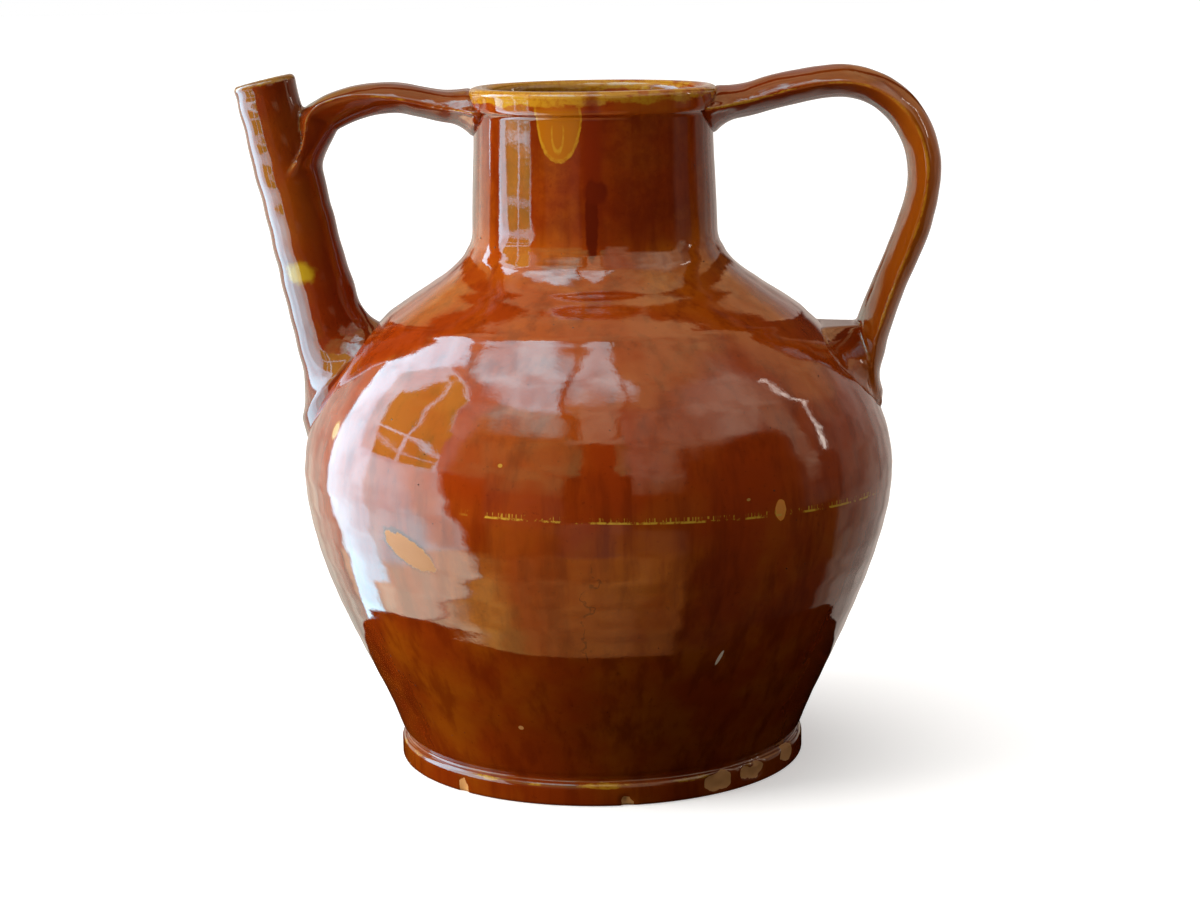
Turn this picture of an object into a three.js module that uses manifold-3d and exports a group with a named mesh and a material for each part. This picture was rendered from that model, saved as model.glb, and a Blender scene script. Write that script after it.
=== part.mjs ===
// A country water jug in lead-glazed earthenware: a thrown body with a wide collar neck, a pouring tube on
// one side held to the rim by a short strap, and a pulled strap handle on the other. Millimetres, +Z up.
// The origin is the middle of the underside, +X points to the handle and -Y to the viewer.
import * as THREE from "three";
import { mergeVertices } from "three/addons/utils/BufferGeometryUtils.js";
import Module from "manifold-3d";

const wasm = await Module();
wasm.setup();
const degree = Math.PI / 180;

// Driving dimensions of the foot, whose radii are measured from the wall's root
const footProud = 2.8;
const footHeight = 10;
const footBead = 3;
const footChamfer = 1.2;
const baseStep = 5.2;
const ledgeHeight = 8;

// Driving dimensions of the body's outside, each rise measured from the line below it
const rootRadius = 82.2;
const rootLean = 68 * degree;
const bellyRadius = 122.9;
const bellyHeight = 122;
const shoulderRadius = 88.7;
const shoulderRise = 63.5;
const shoulderSlope = 42.8 * degree;
const neckRootRadius = 51.1;
const neckRootRise = 36.2;
const neckTaper = 1.5;
const neckRise = 48.7;

// How full each curve of the outside is at its two ends, as shares of the straight line between them
const rootFullness = 0.306;
const bellyFullnessBelow = 0.287;
const bellyFullnessAbove = 0.472;
const shoulderFullnessBelow = 0.161;
const shoulderFullnessAbove = 0.322;
const neckFullness = 1 / 3;

// Banded lip above the crease
const lipRise = 9.6;
const lipShelf = 0.5;
const lipProud = 1.8;
const lipUndercut = 2.4;
const lipRoll = 3.8;
const lipRounding = 3.2;
const lipInnerRounding = 4;

// Clay thickness, and the rebated joints between the thrown sections
const wall = 6;
const floorThickness = 9;
const floorCorner = 22;
const seamBelowNeckRoot = 5;
const tongueDepth = 6;
const jointGap = 0.3;

// Pouring tube, placed from the belly, the shoulder and the rim
const spoutLean = 12.9 * degree;
const spoutOverhang = 11.5;
const spoutRise = 4.2;
const spoutMouthRadius = 12.8;
const spoutRootRadius = 15.4;
const spoutBore = 16;
const spoutLip = 2;
const spoutFootDrop = 20.5;

// Strap that ties the tube to the rim and ends spread round the tube
const braceThickness = 13.4;
const braceWidth = 25;
const braceRimWidth = 32;
const braceSpreadWidth = 48;
const braceSpreadThickness = 2.4;
const braceSpreadStand = 0.9;
const braceSpreadLength = 42;
const braceBendLength = 47;
const braceRimFlare = 28;
const braceRimDrop = 9.2;
const braceCrestDrop = 5.9;
const braceCrestFromSpout = 30.6;
const braceTailDrop = 48;

// Handle strap, placed from the rim, the belly and the shoulder
const handleThickness = 14.4;
const handleWidth = 29;
const handleRimWidth = 36;
const handleFootWidth = 46;
const handleRimDrop = 8.6;
const handleRise = 7.6;
const handleCrestInset = 42;
const handleOverhang = 20.1;
const handleReachDrop = 36.5;
const handleFootTopDrop = 8.2;
const handleFootStand = 17;
const handleFootBottomDrop = 38.5;
const handleRimFlare = 34;
const handleFootFlare = 63;
const handleTipLength = 25;
const handleTipThickness = 6;
const handleTipNarrowing = 0.45;

// Clay wiped into the joints: how far it runs out over the wall and how high it climbs up the strap or tube
const rimWipe = { reach: 4.5, height: 9 };
const collarWipe = { reach: 7, height: 15 };
const spoutWipe = { reach: 5, height: 9 };
const footWipe = { reach: 3, height: 8 };
const wipeEdge = 0.8;
const wipeSunk = 2.5;

// Skirt of clay that the thumbs draw from the handle's foot sideways over the shoulder
const skirtHalfWidth = 38;
const skirtAboveFootTop = 4.5;
const skirtBelowTip = 3;

// Fineness of the facets
const bodyFacets = 48;
const spoutFacets = 24;
const strapSides = 16;

// Heights and reaches that follow from the sizes above
const shoulderHeight = bellyHeight + shoulderRise;
const neckRootHeight = shoulderHeight + neckRootRise;
const creaseHeight = neckRootHeight + neckRise;
const rimHeight = creaseHeight + lipRise;
const footRadius = rootRadius + footProud;
const baseRadius = rootRadius - baseStep;
const neckTopRadius = neckRootRadius - neckTaper;
const lipRadius = neckTopRadius + lipProud;
const boreRadius = neckTopRadius - wall;

// Solids

function solidOf(geometry) {
  const bare = geometry.clone();
  bare.deleteAttribute("normal");
  bare.deleteAttribute("uv");
  const merged = mergeVertices(bare, 1e-4);
  return new wasm.Manifold(
    new wasm.Mesh({
      numProp: 3,
      vertProperties: merged.attributes.position.array,
      triVerts: new Uint32Array(merged.index.array),
    }),
  );
}

function largestBody(solid) {
  return solid.decompose().reduce((best, body) => (body.volume() > best.volume() ? body : best));
}

function turned(profile, facets) {
  const lathe = new THREE.LatheGeometry(profile, facets);
  lathe.rotateX(Math.PI / 2);
  return lathe;
}

// Six times the volume that a list of triangles encloses, negative when they face inwards
function signedVolume(points, faces) {
  let sum = 0;
  for (let index = 0; index < faces.length; index += 3) {
    const [a, b, c] = [0, 1, 2].map((corner) => points[faces[index + corner]]);
    sum += a.dot(b.clone().cross(c));
  }
  return sum;
}

// A closed solid through rings of points that all have the same count, with a fan over each end
function lofted(rings) {
  const count = rings[0].length;
  const points = rings.flat();
  const faces = [];
  for (let ring = 0; ring < rings.length - 1; ring += 1) {
    for (let side = 0; side < count; side += 1) {
      const here = ring * count + side;
      const next = ring * count + ((side + 1) % count);
      faces.push(here, next, here + count);
      faces.push(next, next + count, here + count);
    }
  }
  for (const [ring, flip] of [[0, true], [rings.length - 1, false]]) {
    const middle = points.length;
    const centre = new THREE.Vector3();
    rings[ring].forEach((point) => centre.addScaledVector(point, 1 / count));
    points.push(centre);
    for (let side = 0; side < count; side += 1) {
      const here = ring * count + side;
      const next = ring * count + ((side + 1) % count);
      faces.push(...(flip ? [next, here, middle] : [here, next, middle]));
    }
  }
  const geometry = new THREE.BufferGeometry().setFromPoints(points);
  geometry.setIndex(signedVolume(points, faces) < 0 ? faces.reverse() : faces);
  return solidOf(geometry);
}

function piece(name, solid, finish) {
  const { vertProperties, triVerts } = solid.getMesh();
  const geometry = new THREE.BufferGeometry();
  geometry.setAttribute("position", new THREE.BufferAttribute(vertProperties, 3));
  geometry.setIndex(new THREE.BufferAttribute(triVerts, 1));
  geometry.computeVertexNormals();
  const mesh = new THREE.Mesh(geometry, finish());
  mesh.name = name;
  return mesh;
}

// Finishes

function honeyGlaze() {
  return new THREE.MeshStandardMaterial({ color: 0x8a4416, roughness: 0.16, metalness: 0 });
}

function darkGlaze() {
  return new THREE.MeshStandardMaterial({ color: 0x6b2a0c, roughness: 0.14, metalness: 0 });
}

function thinYellowGlaze() {
  return new THREE.MeshStandardMaterial({ color: 0xb0761f, roughness: 0.2, metalness: 0 });
}

function wornFootClay() {
  return new THREE.MeshStandardMaterial({ color: 0x9a4f24, roughness: 0.4, metalness: 0 });
}

// Outline of the thrown body, as a list of (radius, height) points that climbs all the way

function sweep(from, leaving, to, arriving, steps) {
  const chord = from.distanceTo(to);
  const curve = new THREE.CubicBezierCurve(
    from,
    from.clone().addScaledVector(leaving.along, leaving.fullness * chord),
    to.clone().addScaledVector(arriving.along, -arriving.fullness * chord),
    to,
  );
  return curve.getPoints(steps);
}

function bodyOutline() {
  const root = new THREE.Vector2(rootRadius, ledgeHeight);
  const belly = new THREE.Vector2(bellyRadius, bellyHeight);
  const shoulder = new THREE.Vector2(shoulderRadius, shoulderHeight);
  const neckRoot = new THREE.Vector2(neckRootRadius, neckRootHeight);
  const neckTop = new THREE.Vector2(neckTopRadius, creaseHeight);
  const up = new THREE.Vector2(0, 1);
  const leaning = new THREE.Vector2(Math.cos(rootLean), Math.sin(rootLean));
  const inward = new THREE.Vector2(-Math.cos(shoulderSlope), Math.sin(shoulderSlope));
  return [
    ...sweep(root, { along: leaning, fullness: rootFullness },
      belly, { along: up, fullness: bellyFullnessBelow }, 8),
    ...sweep(belly, { along: up, fullness: bellyFullnessAbove },
      shoulder, { along: inward, fullness: shoulderFullnessBelow }, 6).slice(1),
    ...sweep(shoulder, { along: inward, fullness: shoulderFullnessAbove },
      neckRoot, { along: up, fullness: shoulderFullnessAbove }, 6).slice(1),
    ...sweep(neckRoot, { along: up, fullness: neckFullness },
      neckTop, { along: up, fullness: neckFullness }, 3).slice(1),
  ];
}

function lipOutline() {
  const swell = new THREE.EllipseCurve(
    neckTopRadius + lipShelf, creaseHeight + lipUndercut, lipProud - lipShelf, lipUndercut,
    -Math.PI / 2, 0,
  );
  const roll = new THREE.EllipseCurve(
    lipRadius - lipRoll, rimHeight - lipRounding, lipRoll, lipRounding, 0, Math.PI / 2,
  );
  return [...swell.getPoints(2), ...roll.getPoints(4)];
}

// The same outline moved along its own normals, outwards for a positive distance
function offset(outline, distance) {
  return outline.map((point, index) => {
    const before = outline[Math.max(index - 1, 0)];
    const after = outline[Math.min(index + 1, outline.length - 1)];
    const along = after.clone().sub(before).normalize();
    return new THREE.Vector2(point.x + along.y * distance, point.y - along.x * distance);
  });
}

function radiusAt(outline, height) {
  const last = outline.length - 1;
  if (height <= outline[0].y) return outline[0].x;
  if (height >= outline[last].y) return outline[last].x;
  const above = outline.findIndex((point) => point.y > height);
  const low = outline[above - 1];
  const high = outline[above];
  return low.x + ((high.x - low.x) * (height - low.y)) / (high.y - low.y);
}

// The stretch of an outline between two heights, with its ends exactly there
function stretch(outline, low, high) {
  const near = 0.4;
  return [
    new THREE.Vector2(radiusAt(outline, low), low),
    ...outline.filter((point) => point.y > low + near && point.y < high - near),
    new THREE.Vector2(radiusAt(outline, high), high),
  ];
}

const outside = bodyOutline();
const inside = offset(outside, -wall);
const lip = lipOutline();
const skinOutline = [...outside, ...lip];
const bellySeam = bellyHeight;
const neckSeam = neckRootHeight - seamBelowNeckRoot;

// Where a rebated joint steps from the outer half of the wall to the inner half
function rebateRadius(seam) {
  return radiusAt(outside, seam) - wall / 2;
}

// The whole body as one plug, a slip's thickness larger, that shapes what is luted onto it
function bodyPlug(clearance) {
  const skin = offset(skinOutline, clearance);
  const top = rimHeight + clearance;
  const profile = [
    new THREE.Vector2(0, 0),
    new THREE.Vector2(skin[0].x, 0),
    ...skin.map((point) => new THREE.Vector2(point.x, Math.min(point.y, top))),
    new THREE.Vector2(0, top),
  ];
  return solidOf(turned(profile, bodyFacets));
}

// Thrown sections

function footRing() {
  const seat = baseRadius + jointGap;
  const grooveTop = radiusAt(outside, footHeight) + jointGap;
  const bead = new THREE.EllipseCurve(
    grooveTop, footHeight - footBead, footRadius - grooveTop, footBead, 0, Math.PI / 2,
  );
  return solidOf(turned([
    new THREE.Vector2(seat, 0),
    new THREE.Vector2(footRadius - footChamfer, 0),
    new THREE.Vector2(footRadius, footChamfer),
    ...bead.getPoints(4),
    new THREE.Vector2(rootRadius + jointGap, ledgeHeight),
    new THREE.Vector2(seat, ledgeHeight),
    new THREE.Vector2(seat, 0),
  ], bodyFacets));
}

function lowerBelly() {
  const tongueFloor = bellySeam - tongueDepth;
  const rebate = rebateRadius(bellySeam);
  const hollowStart = floorThickness + floorCorner;
  const corner = new THREE.QuadraticBezierCurve(
    new THREE.Vector2(radiusAt(inside, hollowStart), hollowStart),
    new THREE.Vector2(radiusAt(inside, floorThickness) - wall / 2, floorThickness),
    new THREE.Vector2(radiusAt(inside, floorThickness) - floorCorner, floorThickness),
  );
  return solidOf(turned([
    new THREE.Vector2(0, 0),
    new THREE.Vector2(baseRadius, 0),
    new THREE.Vector2(baseRadius, ledgeHeight),
    ...stretch(outside, ledgeHeight, bellySeam),
    new THREE.Vector2(rebate, bellySeam),
    new THREE.Vector2(rebate, tongueFloor),
    ...stretch(inside, hollowStart, tongueFloor).reverse(),
    ...corner.getPoints(4).slice(1),
    new THREE.Vector2(0, floorThickness),
  ], bodyFacets));
}

// A ring of wall between two seams, with a tongue below that drops inside the rebate of the section under it
function thrownRing(outer, inner, low, high) {
  const tongue = rebateRadius(low) - jointGap;
  const tongueEnd = low - tongueDepth + jointGap;
  const rebate = rebateRadius(high);
  const rebateFloor = high - tongueDepth;
  return solidOf(turned([
    new THREE.Vector2(tongue, low),
    ...stretch(outer, low, high),
    new THREE.Vector2(rebate, high),
    new THREE.Vector2(rebate, rebateFloor),
    ...stretch(inner, tongueEnd, rebateFloor).reverse(),
    new THREE.Vector2(tongue, tongueEnd),
    new THREE.Vector2(tongue, low),
  ], bodyFacets));
}

function shoulder() {
  return thrownRing(outside, inside, bellySeam, neckSeam).subtract(spoutRod(spoutBore / 2));
}

function neck() {
  const tongue = rebateRadius(neckSeam) - jointGap;
  const tongueEnd = neckSeam - tongueDepth + jointGap;
  return solidOf(turned([
    new THREE.Vector2(tongue, neckSeam),
    ...stretch(outside, neckSeam, creaseHeight),
    new THREE.Vector2(boreRadius, creaseHeight),
    ...stretch(inside, tongueEnd, creaseHeight - tongueDepth).reverse(),
    new THREE.Vector2(tongue, tongueEnd),
    new THREE.Vector2(tongue, neckSeam),
  ], bodyFacets));
}

function rimBand() {
  const innerRoll = new THREE.EllipseCurve(
    lipRadius - lipRoll, rimHeight - lipInnerRounding,
    lipRadius - lipRoll - boreRadius, lipInnerRounding, Math.PI / 2, Math.PI,
  );
  return solidOf(turned([
    new THREE.Vector2(boreRadius, creaseHeight),
    ...lip,
    ...innerRoll.getPoints(3).slice(1),
    new THREE.Vector2(boreRadius, creaseHeight),
  ], bodyFacets));
}

// Pouring tube, turned about its own leaning axis

const spoutFootHeight = shoulderHeight - spoutFootDrop;
const spoutMouth = new THREE.Vector3(-(bellyRadius + spoutOverhang), 0, rimHeight + spoutRise);
const spoutAxis = new THREE.Vector3(-Math.sin(spoutLean), 0, Math.cos(spoutLean));
const spoutSide = new THREE.Vector3(Math.cos(spoutLean), 0, Math.sin(spoutLean));
const spoutLength = (spoutMouth.z - spoutFootHeight) / Math.cos(spoutLean);
const spoutRunIn = 2 * spoutRootRadius;

function alongSpout(geometry) {
  geometry.translate(0, 0, -spoutLength);
  geometry.rotateY(-spoutLean);
  geometry.translate(spoutMouth.x, spoutMouth.y, spoutMouth.z);
  return solidOf(geometry);
}

function spoutRadiusAt(fromFoot) {
  return THREE.MathUtils.lerp(spoutRootRadius, spoutMouthRadius, fromFoot / spoutLength);
}

// A point in the tube's own terms: how far up its axis, how far towards the jug and how far sideways
function spoutPlace(point) {
  const fromMouth = point.clone().sub(spoutMouth);
  return { fromFoot: spoutLength + fromMouth.dot(spoutAxis), inward: fromMouth.dot(spoutSide), sideways: point.y };
}

function spoutPoint(fromFoot, inward, sideways) {
  const point = spoutMouth.clone().addScaledVector(spoutAxis, fromFoot - spoutLength);
  point.addScaledVector(spoutSide, inward);
  point.y = sideways;
  return point;
}

function spoutRod(radius) {
  return alongSpout(turned([
    new THREE.Vector2(0, -spoutRunIn),
    new THREE.Vector2(radius, -spoutRunIn),
    new THREE.Vector2(radius, spoutLength),
    new THREE.Vector2(0, spoutLength),
  ], spoutFacets));
}

function spoutPlug(clearance) {
  return alongSpout(turned([
    new THREE.Vector2(0, -spoutRunIn),
    new THREE.Vector2(spoutRadiusAt(-spoutRunIn) + clearance, -spoutRunIn),
    new THREE.Vector2(spoutMouthRadius + clearance, spoutLength + clearance),
    new THREE.Vector2(0, spoutLength + clearance),
  ], spoutFacets));
}

function spout() {
  const bore = spoutBore / 2;
  const lipStart = spoutLength - spoutLip;
  const round = new THREE.EllipseCurve(
    spoutMouthRadius - spoutLip, lipStart, spoutLip, spoutLip, 0, Math.PI / 2,
  );
  return alongSpout(turned([
    new THREE.Vector2(bore, -spoutRunIn),
    new THREE.Vector2(spoutRadiusAt(-spoutRunIn), -spoutRunIn),
    new THREE.Vector2(spoutRadiusAt(lipStart), lipStart),
    ...round.getPoints(3).slice(1),
    new THREE.Vector2(bore + spoutLip / 2, spoutLength),
    new THREE.Vector2(bore, lipStart),
    new THREE.Vector2(bore, -spoutRunIn),
  ], spoutFacets)).subtract(bodyPlug(jointGap));
}

// How far a point lies from the body's skin, or from the tube's
function distanceToBody(point) {
  const radius = Math.hypot(point.x, point.y);
  const step = 0.5;
  const wider = radiusAt(skinOutline, point.z + step) - radiusAt(skinOutline, point.z - step);
  return (radius - radiusAt(skinOutline, point.z)) / Math.hypot(1, wider / (2 * step));
}

function distanceToSpout(point) {
  const { fromFoot, inward, sideways } = spoutPlace(point);
  return Math.hypot(inward, sideways) - spoutRadiusAt(fromFoot);
}

// Where along a side line, from 0 far out to 1 sunk in the wall, the line comes to a given distance from it
function travelTo(target, distanceAlong) {
  const halvings = 20;
  let far = 0;
  let near = 1;
  for (let count = 0; count < halvings; count += 1) {
    const middle = (far + near) / 2;
    if (distanceAlong(middle) > target) far = middle;
    else near = middle;
  }
  return near;
}

// Clay wiped round a strap or tube where it meets a wall: thickest at the wall and hollow, and its upper edge
// keeps one distance from the wall all the way round. pointAt gives a point on side line, travel and swell;
// a side whose reach is 0 gets no clay.
function wiped(sides, pointAt, distance, reachAt, height) {
  const rows = 6;
  const rings = Array.from({ length: rows + 1 }, () => []);
  for (let side = 0; side < sides; side += 1) {
    const bare = (travel) => pointAt(side, travel, 0);
    const start = travelTo(height, (travel) => distance(bare(travel)));
    const end = travelTo(-wipeSunk, (travel) => distance(bare(travel)));
    for (let row = 0; row <= rows; row += 1) {
      const travel = THREE.MathUtils.lerp(start, end, row / rows);
      const point = bare(travel);
      const share = THREE.MathUtils.clamp(1 - distance(point) / height, 0, 1);
      const reach = reachAt(side);
      rings[row].push(pointAt(side, travel, reach > 0 ? wipeEdge + reach * share * share : 0));
    }
  }
  return lofted(rings);
}

function spoutCollar() {
  const highest = 2 * spoutRunIn;
  const pointAt = (facet, travel, swell) => {
    const fromFoot = THREE.MathUtils.lerp(highest, -spoutRunIn, travel);
    const turn = (2 * Math.PI * facet) / spoutFacets;
    const radius = spoutRadiusAt(fromFoot) + swell;
    return spoutPoint(fromFoot, radius * Math.cos(turn), radius * Math.sin(turn));
  };
  const { reach, height } = collarWipe;
  const clay = wiped(spoutFacets, pointAt, distanceToBody, () => reach, height);
  return largestBody(clay.subtract(spoutPlug(jointGap)).subtract(bodyPlug(jointGap)));
}

// Pulled straps

// How squarely a side of the section faces outwards: 1 in the middle of the outer face, -1 on the inner one
function facing(side) {
  return Math.sin((2 * Math.PI * side) / strapSides);
}

// A point on a strap's section: a lens with an arris along each side, fuller on its outer face
function sectionPoint(side, halfWidth, halfThickness, swell) {
  const outerFullness = 2.3;
  const innerFullness = 1.8;
  const softness = 0.9;
  const across = Math.cos((2 * Math.PI * side) / strapSides);
  const fullness = facing(side) > 0 ? outerFullness : innerFullness;
  const bulge = Math.pow(Math.max(1 - Math.pow(Math.abs(across), fullness), 0), softness);
  return new THREE.Vector2(
    (halfWidth + swell) * across,
    Math.sign(facing(side)) * halfThickness * bulge + swell * facing(side),
  );
}

// A strap's path lies in the XZ plane. shape gives its half sizes from the distances to its two ends, outSign is
// 1 when its outer face is on the left of travel, and bend moves a point that lies a distance from the far end.
function pulledStrap(path, shape, outSign, bend) {
  return { path, shape, outSign, bend, length: path.getLength() };
}

// A point on a strap at a distance along it; past either end the strap runs straight on
function strapPoint({ path, shape, outSign, bend, length }, run, side, swell) {
  const onPath = THREE.MathUtils.clamp(run, 0, length);
  const along = path.getTangentAt(onPath / length);
  const middle = path.getPointAt(onPath / length).addScaledVector(along, run - onPath);
  const { halfWidth, halfThickness } = shape(onPath, length - onPath);
  const { x, y } = sectionPoint(side, halfWidth, halfThickness, swell);
  const point = new THREE.Vector3(middle.x - along.z * outSign * y, x * outSign, middle.z + along.x * outSign * y);
  return bend(point, length - onPath);
}

function strapBlank(strap, clearance, steps) {
  const rings = [];
  for (let step = 0; step <= steps; step += 1) {
    const run = THREE.MathUtils.lerp(-clearance, strap.length + clearance, step / steps);
    const ring = [];
    for (let side = 0; side < strapSides; side += 1) ring.push(strapPoint(strap, run, side, clearance));
    rings.push(ring);
  }
  return lofted(rings);
}

// Clay wiped round a strap, between a distance along it that is well clear of the wall and one sunk in it
function wipedStrap(strap, clearRun, sunkRun, distance, reachAt, height) {
  const pointAt = (side, travel, swell) =>
    strapPoint(strap, THREE.MathUtils.lerp(clearRun, sunkRun, travel), side, swell);
  return wiped(strapSides, pointAt, distance, reachAt, height);
}

// At the rim clay is wiped only under a strap and along its arrises; its outer face runs into the rim as pulled
function wipedAtRim(strap, clearRun, steps) {
  const { reach, height } = rimWipe;
  const reachAt = (side) => (facing(side) > 0.1 ? 0 : reach);
  const clay = wipedStrap(strap, clearRun, 0, distanceToBody, reachAt, height);
  return largestBody(clay.subtract(strapBlank(strap, jointGap, steps)).subtract(bodyPlug(jointGap)));
}

function between(first, second, share) {
  return THREE.MathUtils.lerp(first, second, THREE.MathUtils.smoothstep(share, 0, 1));
}

const flat = (x, z) => new THREE.Vector3(x, 0, z);
const quarterRound = 0.5523;
const straight = (point) => point;

// Handle: out of the rim, over a crest above the rim, round its widest reach and down onto the shoulder

function handlePath() {
  const half = handleThickness / 2;
  const reach = bellyRadius + handleOverhang;
  const footTop = shoulderHeight - handleFootTopDrop;
  const footBottom = shoulderHeight - handleFootBottomDrop;
  const start = flat(lipRadius - wall, rimHeight - handleRimDrop);
  const crest = flat(reach - handleCrestInset, rimHeight + handleRise - half);
  const widest = flat(reach - half, rimHeight - handleReachDrop);
  const foot = flat(radiusAt(outside, footTop) + handleFootStand, footTop);
  const tip = flat(radiusAt(outside, footBottom) - handleTipThickness / 2, footBottom);
  const levelRun = 0.4 * (crest.x - start.x);
  const drop = 0.33 * (widest.z - foot.z);
  const settle = 0.33 * (foot.z - tip.z);
  const lean = flat(0.3, 1).normalize();
  const path = new THREE.CurvePath();
  path.add(new THREE.CubicBezierCurve3(
    start, flat(start.x + levelRun, start.z), flat(crest.x - levelRun, crest.z), crest,
  ));
  path.add(new THREE.CubicBezierCurve3(
    crest,
    flat(THREE.MathUtils.lerp(crest.x, widest.x, quarterRound), crest.z),
    flat(widest.x, THREE.MathUtils.lerp(widest.z, crest.z, quarterRound)),
    widest,
  ));
  path.add(new THREE.CubicBezierCurve3(
    widest, flat(widest.x, widest.z - drop), foot.clone().addScaledVector(lean, drop), foot,
  ));
  path.add(new THREE.CubicBezierCurve3(
    foot, foot.clone().addScaledVector(lean, -settle), flat(tip.x, tip.z + settle), tip,
  ));
  return path;
}

function handleShape(fromRim, fromTip) {
  const rimFlare = between(handleRimWidth - handleWidth, 0, fromRim / handleRimFlare);
  const footFlare = between(handleFootWidth - handleWidth, 0, (fromTip - handleTipLength) /
    (handleFootFlare - handleTipLength));
  const tip = between(1, 0, fromTip / handleTipLength);
  return {
    halfWidth: ((handleWidth + rimFlare + footFlare) * (1 - handleTipNarrowing * tip)) / 2,
    halfThickness: THREE.MathUtils.lerp(handleThickness, handleTipThickness, tip) / 2,
  };
}

const handleStrap = pulledStrap(handlePath(), handleShape, 1, straight);
const handleSteps = 28;

function handle() {
  return largestBody(strapBlank(handleStrap, 0, handleSteps).subtract(bodyPlug(jointGap)));
}

function handleRimLute() {
  return wipedAtRim(handleStrap, handleRimFlare, handleSteps);
}

// The skirt, in level rows: from a leaf-shaped line on the shoulder each row climbs in a hollow to the strap's
// side arrises, and the strap lies in the middle of it.
function skirt() {
  const rows = 9;
  const { path, shape, length } = handleStrap;
  const top = shoulderHeight - handleFootTopDrop + skirtAboveFootTop;
  const bottom = shoulderHeight - handleFootBottomDrop - skirtBelowTip;
  const lowerPart = 1 - (handleFootFlare * 1.3) / length;
  const rings = [];
  for (let row = 0; row <= rows; row += 1) {
    const down = THREE.MathUtils.lerp(0.06, 0.96, row / rows);
    const height = THREE.MathUtils.lerp(top, bottom, down);
    const leaf = Math.pow(Math.sin(Math.PI * Math.pow(down, 0.7)), 0.7);
    const radius = radiusAt(outside, height);
    const shareAt = (travel) => THREE.MathUtils.lerp(lowerPart, 1, travel);
    const share = shareAt(travelTo(height, (travel) => path.getPointAt(shareAt(travel)).z));
    const arris = new THREE.Vector2(
      Math.max(path.getPointAt(share).x, radius + wipeEdge),
      shape(share * length, (1 - share) * length).halfWidth,
    );
    const turn = (skirtHalfWidth * leaf) / radius;
    const onWall = (angle, above) =>
      new THREE.Vector2((radius + above) * Math.cos(angle), (radius + above) * Math.sin(angle));
    const contact = onWall(turn, wipeEdge);
    const hollow = new THREE.Vector2(
      THREE.MathUtils.lerp(contact.x, arris.x, 0.25), THREE.MathUtils.lerp(arris.y, contact.y, 0.3),
    );
    const half = [
      ...new THREE.QuadraticBezierCurve(arris, hollow, contact).getPoints(4),
      onWall(turn, -wipeSunk),
      onWall(turn / 2, -wipeSunk),
    ];
    const mirrored = half.map(({ x, y }) => new THREE.Vector2(x, -y)).reverse();
    rings.push([...half, onWall(0, -wipeSunk), ...mirrored].map(({ x, y }) => new THREE.Vector3(x, y, height)));
  }
  return lofted(rings);
}

function handleFootLute() {
  const { reach, height } = footWipe;
  const { length } = handleStrap;
  const clearRun = length - 1.3 * handleFootFlare;
  const clay = wipedStrap(handleStrap, clearRun, length + height, distanceToBody, () => reach, height)
    .add(skirt());
  return largestBody(
    clay.subtract(strapBlank(handleStrap, jointGap, handleSteps)).subtract(bodyPlug(jointGap)),
  );
}

// Brace: from the rim over a low crest, then down the tube, where its end is squeezed round the tube's side

function bracePath() {
  const spoutFace = (height) => {
    const fromFoot = spoutLength - (spoutMouth.z - height) / Math.cos(spoutLean);
    return spoutPoint(fromFoot, 0, 0).x + spoutRadiusAt(fromFoot) / Math.cos(spoutLean);
  };
  const crestHeight = rimHeight - braceCrestDrop;
  const tailHeight = rimHeight - braceTailDrop;
  const start = flat(-(lipRadius - wall), rimHeight - braceRimDrop);
  const crest = flat(spoutFace(crestHeight) + braceCrestFromSpout, crestHeight);
  const tail = flat(spoutFace(tailHeight) + braceSpreadStand, tailHeight);
  const levelRun = 0.4 * (start.x - crest.x);
  const turnDown = 0.78 * (crest.x - tail.x);
  const path = new THREE.CurvePath();
  path.add(new THREE.CubicBezierCurve3(
    start, flat(start.x - levelRun, start.z), flat(crest.x + levelRun, crest.z), crest,
  ));
  path.add(new THREE.CubicBezierCurve3(
    crest,
    flat(crest.x - turnDown, crest.z),
    tail.clone().addScaledVector(spoutAxis, quarterRound * (crest.z - tail.z)),
    tail,
  ));
  return path;
}

function braceShape(fromRim, fromTail) {
  const rimFlare = between(braceRimWidth - braceWidth, 0, fromRim / braceRimFlare);
  const spread = between(1, 0, fromTail / braceSpreadLength);
  return {
    halfWidth: (rimFlare + THREE.MathUtils.lerp(braceWidth, braceSpreadWidth, spread)) / 2,
    halfThickness: THREE.MathUtils.lerp(braceThickness, braceSpreadThickness, spread) / 2,
  };
}

// Wraps the brace's spread end round the tube, fully at its tail and fading out up the strap
function roundSpout(point, fromTail) {
  const { fromFoot, inward, sideways } = spoutPlace(point);
  const turn = sideways / Math.max(inward, spoutRadiusAt(fromFoot));
  const hugging = spoutPoint(fromFoot, inward * Math.cos(turn), inward * Math.sin(turn));
  return point.clone().lerp(hugging, between(1, 0, (fromTail - wipeSunk) / (braceBendLength - wipeSunk)));
}

const braceStrap = pulledStrap(bracePath(), braceShape, -1, roundSpout);
const braceSteps = 22;

function spoutBrace() {
  return largestBody(
    strapBlank(braceStrap, 0, braceSteps).subtract(bodyPlug(jointGap)).subtract(spoutPlug(jointGap)),
  );
}

function braceRimLute() {
  return wipedAtRim(braceStrap, braceRimFlare, braceSteps);
}

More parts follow.
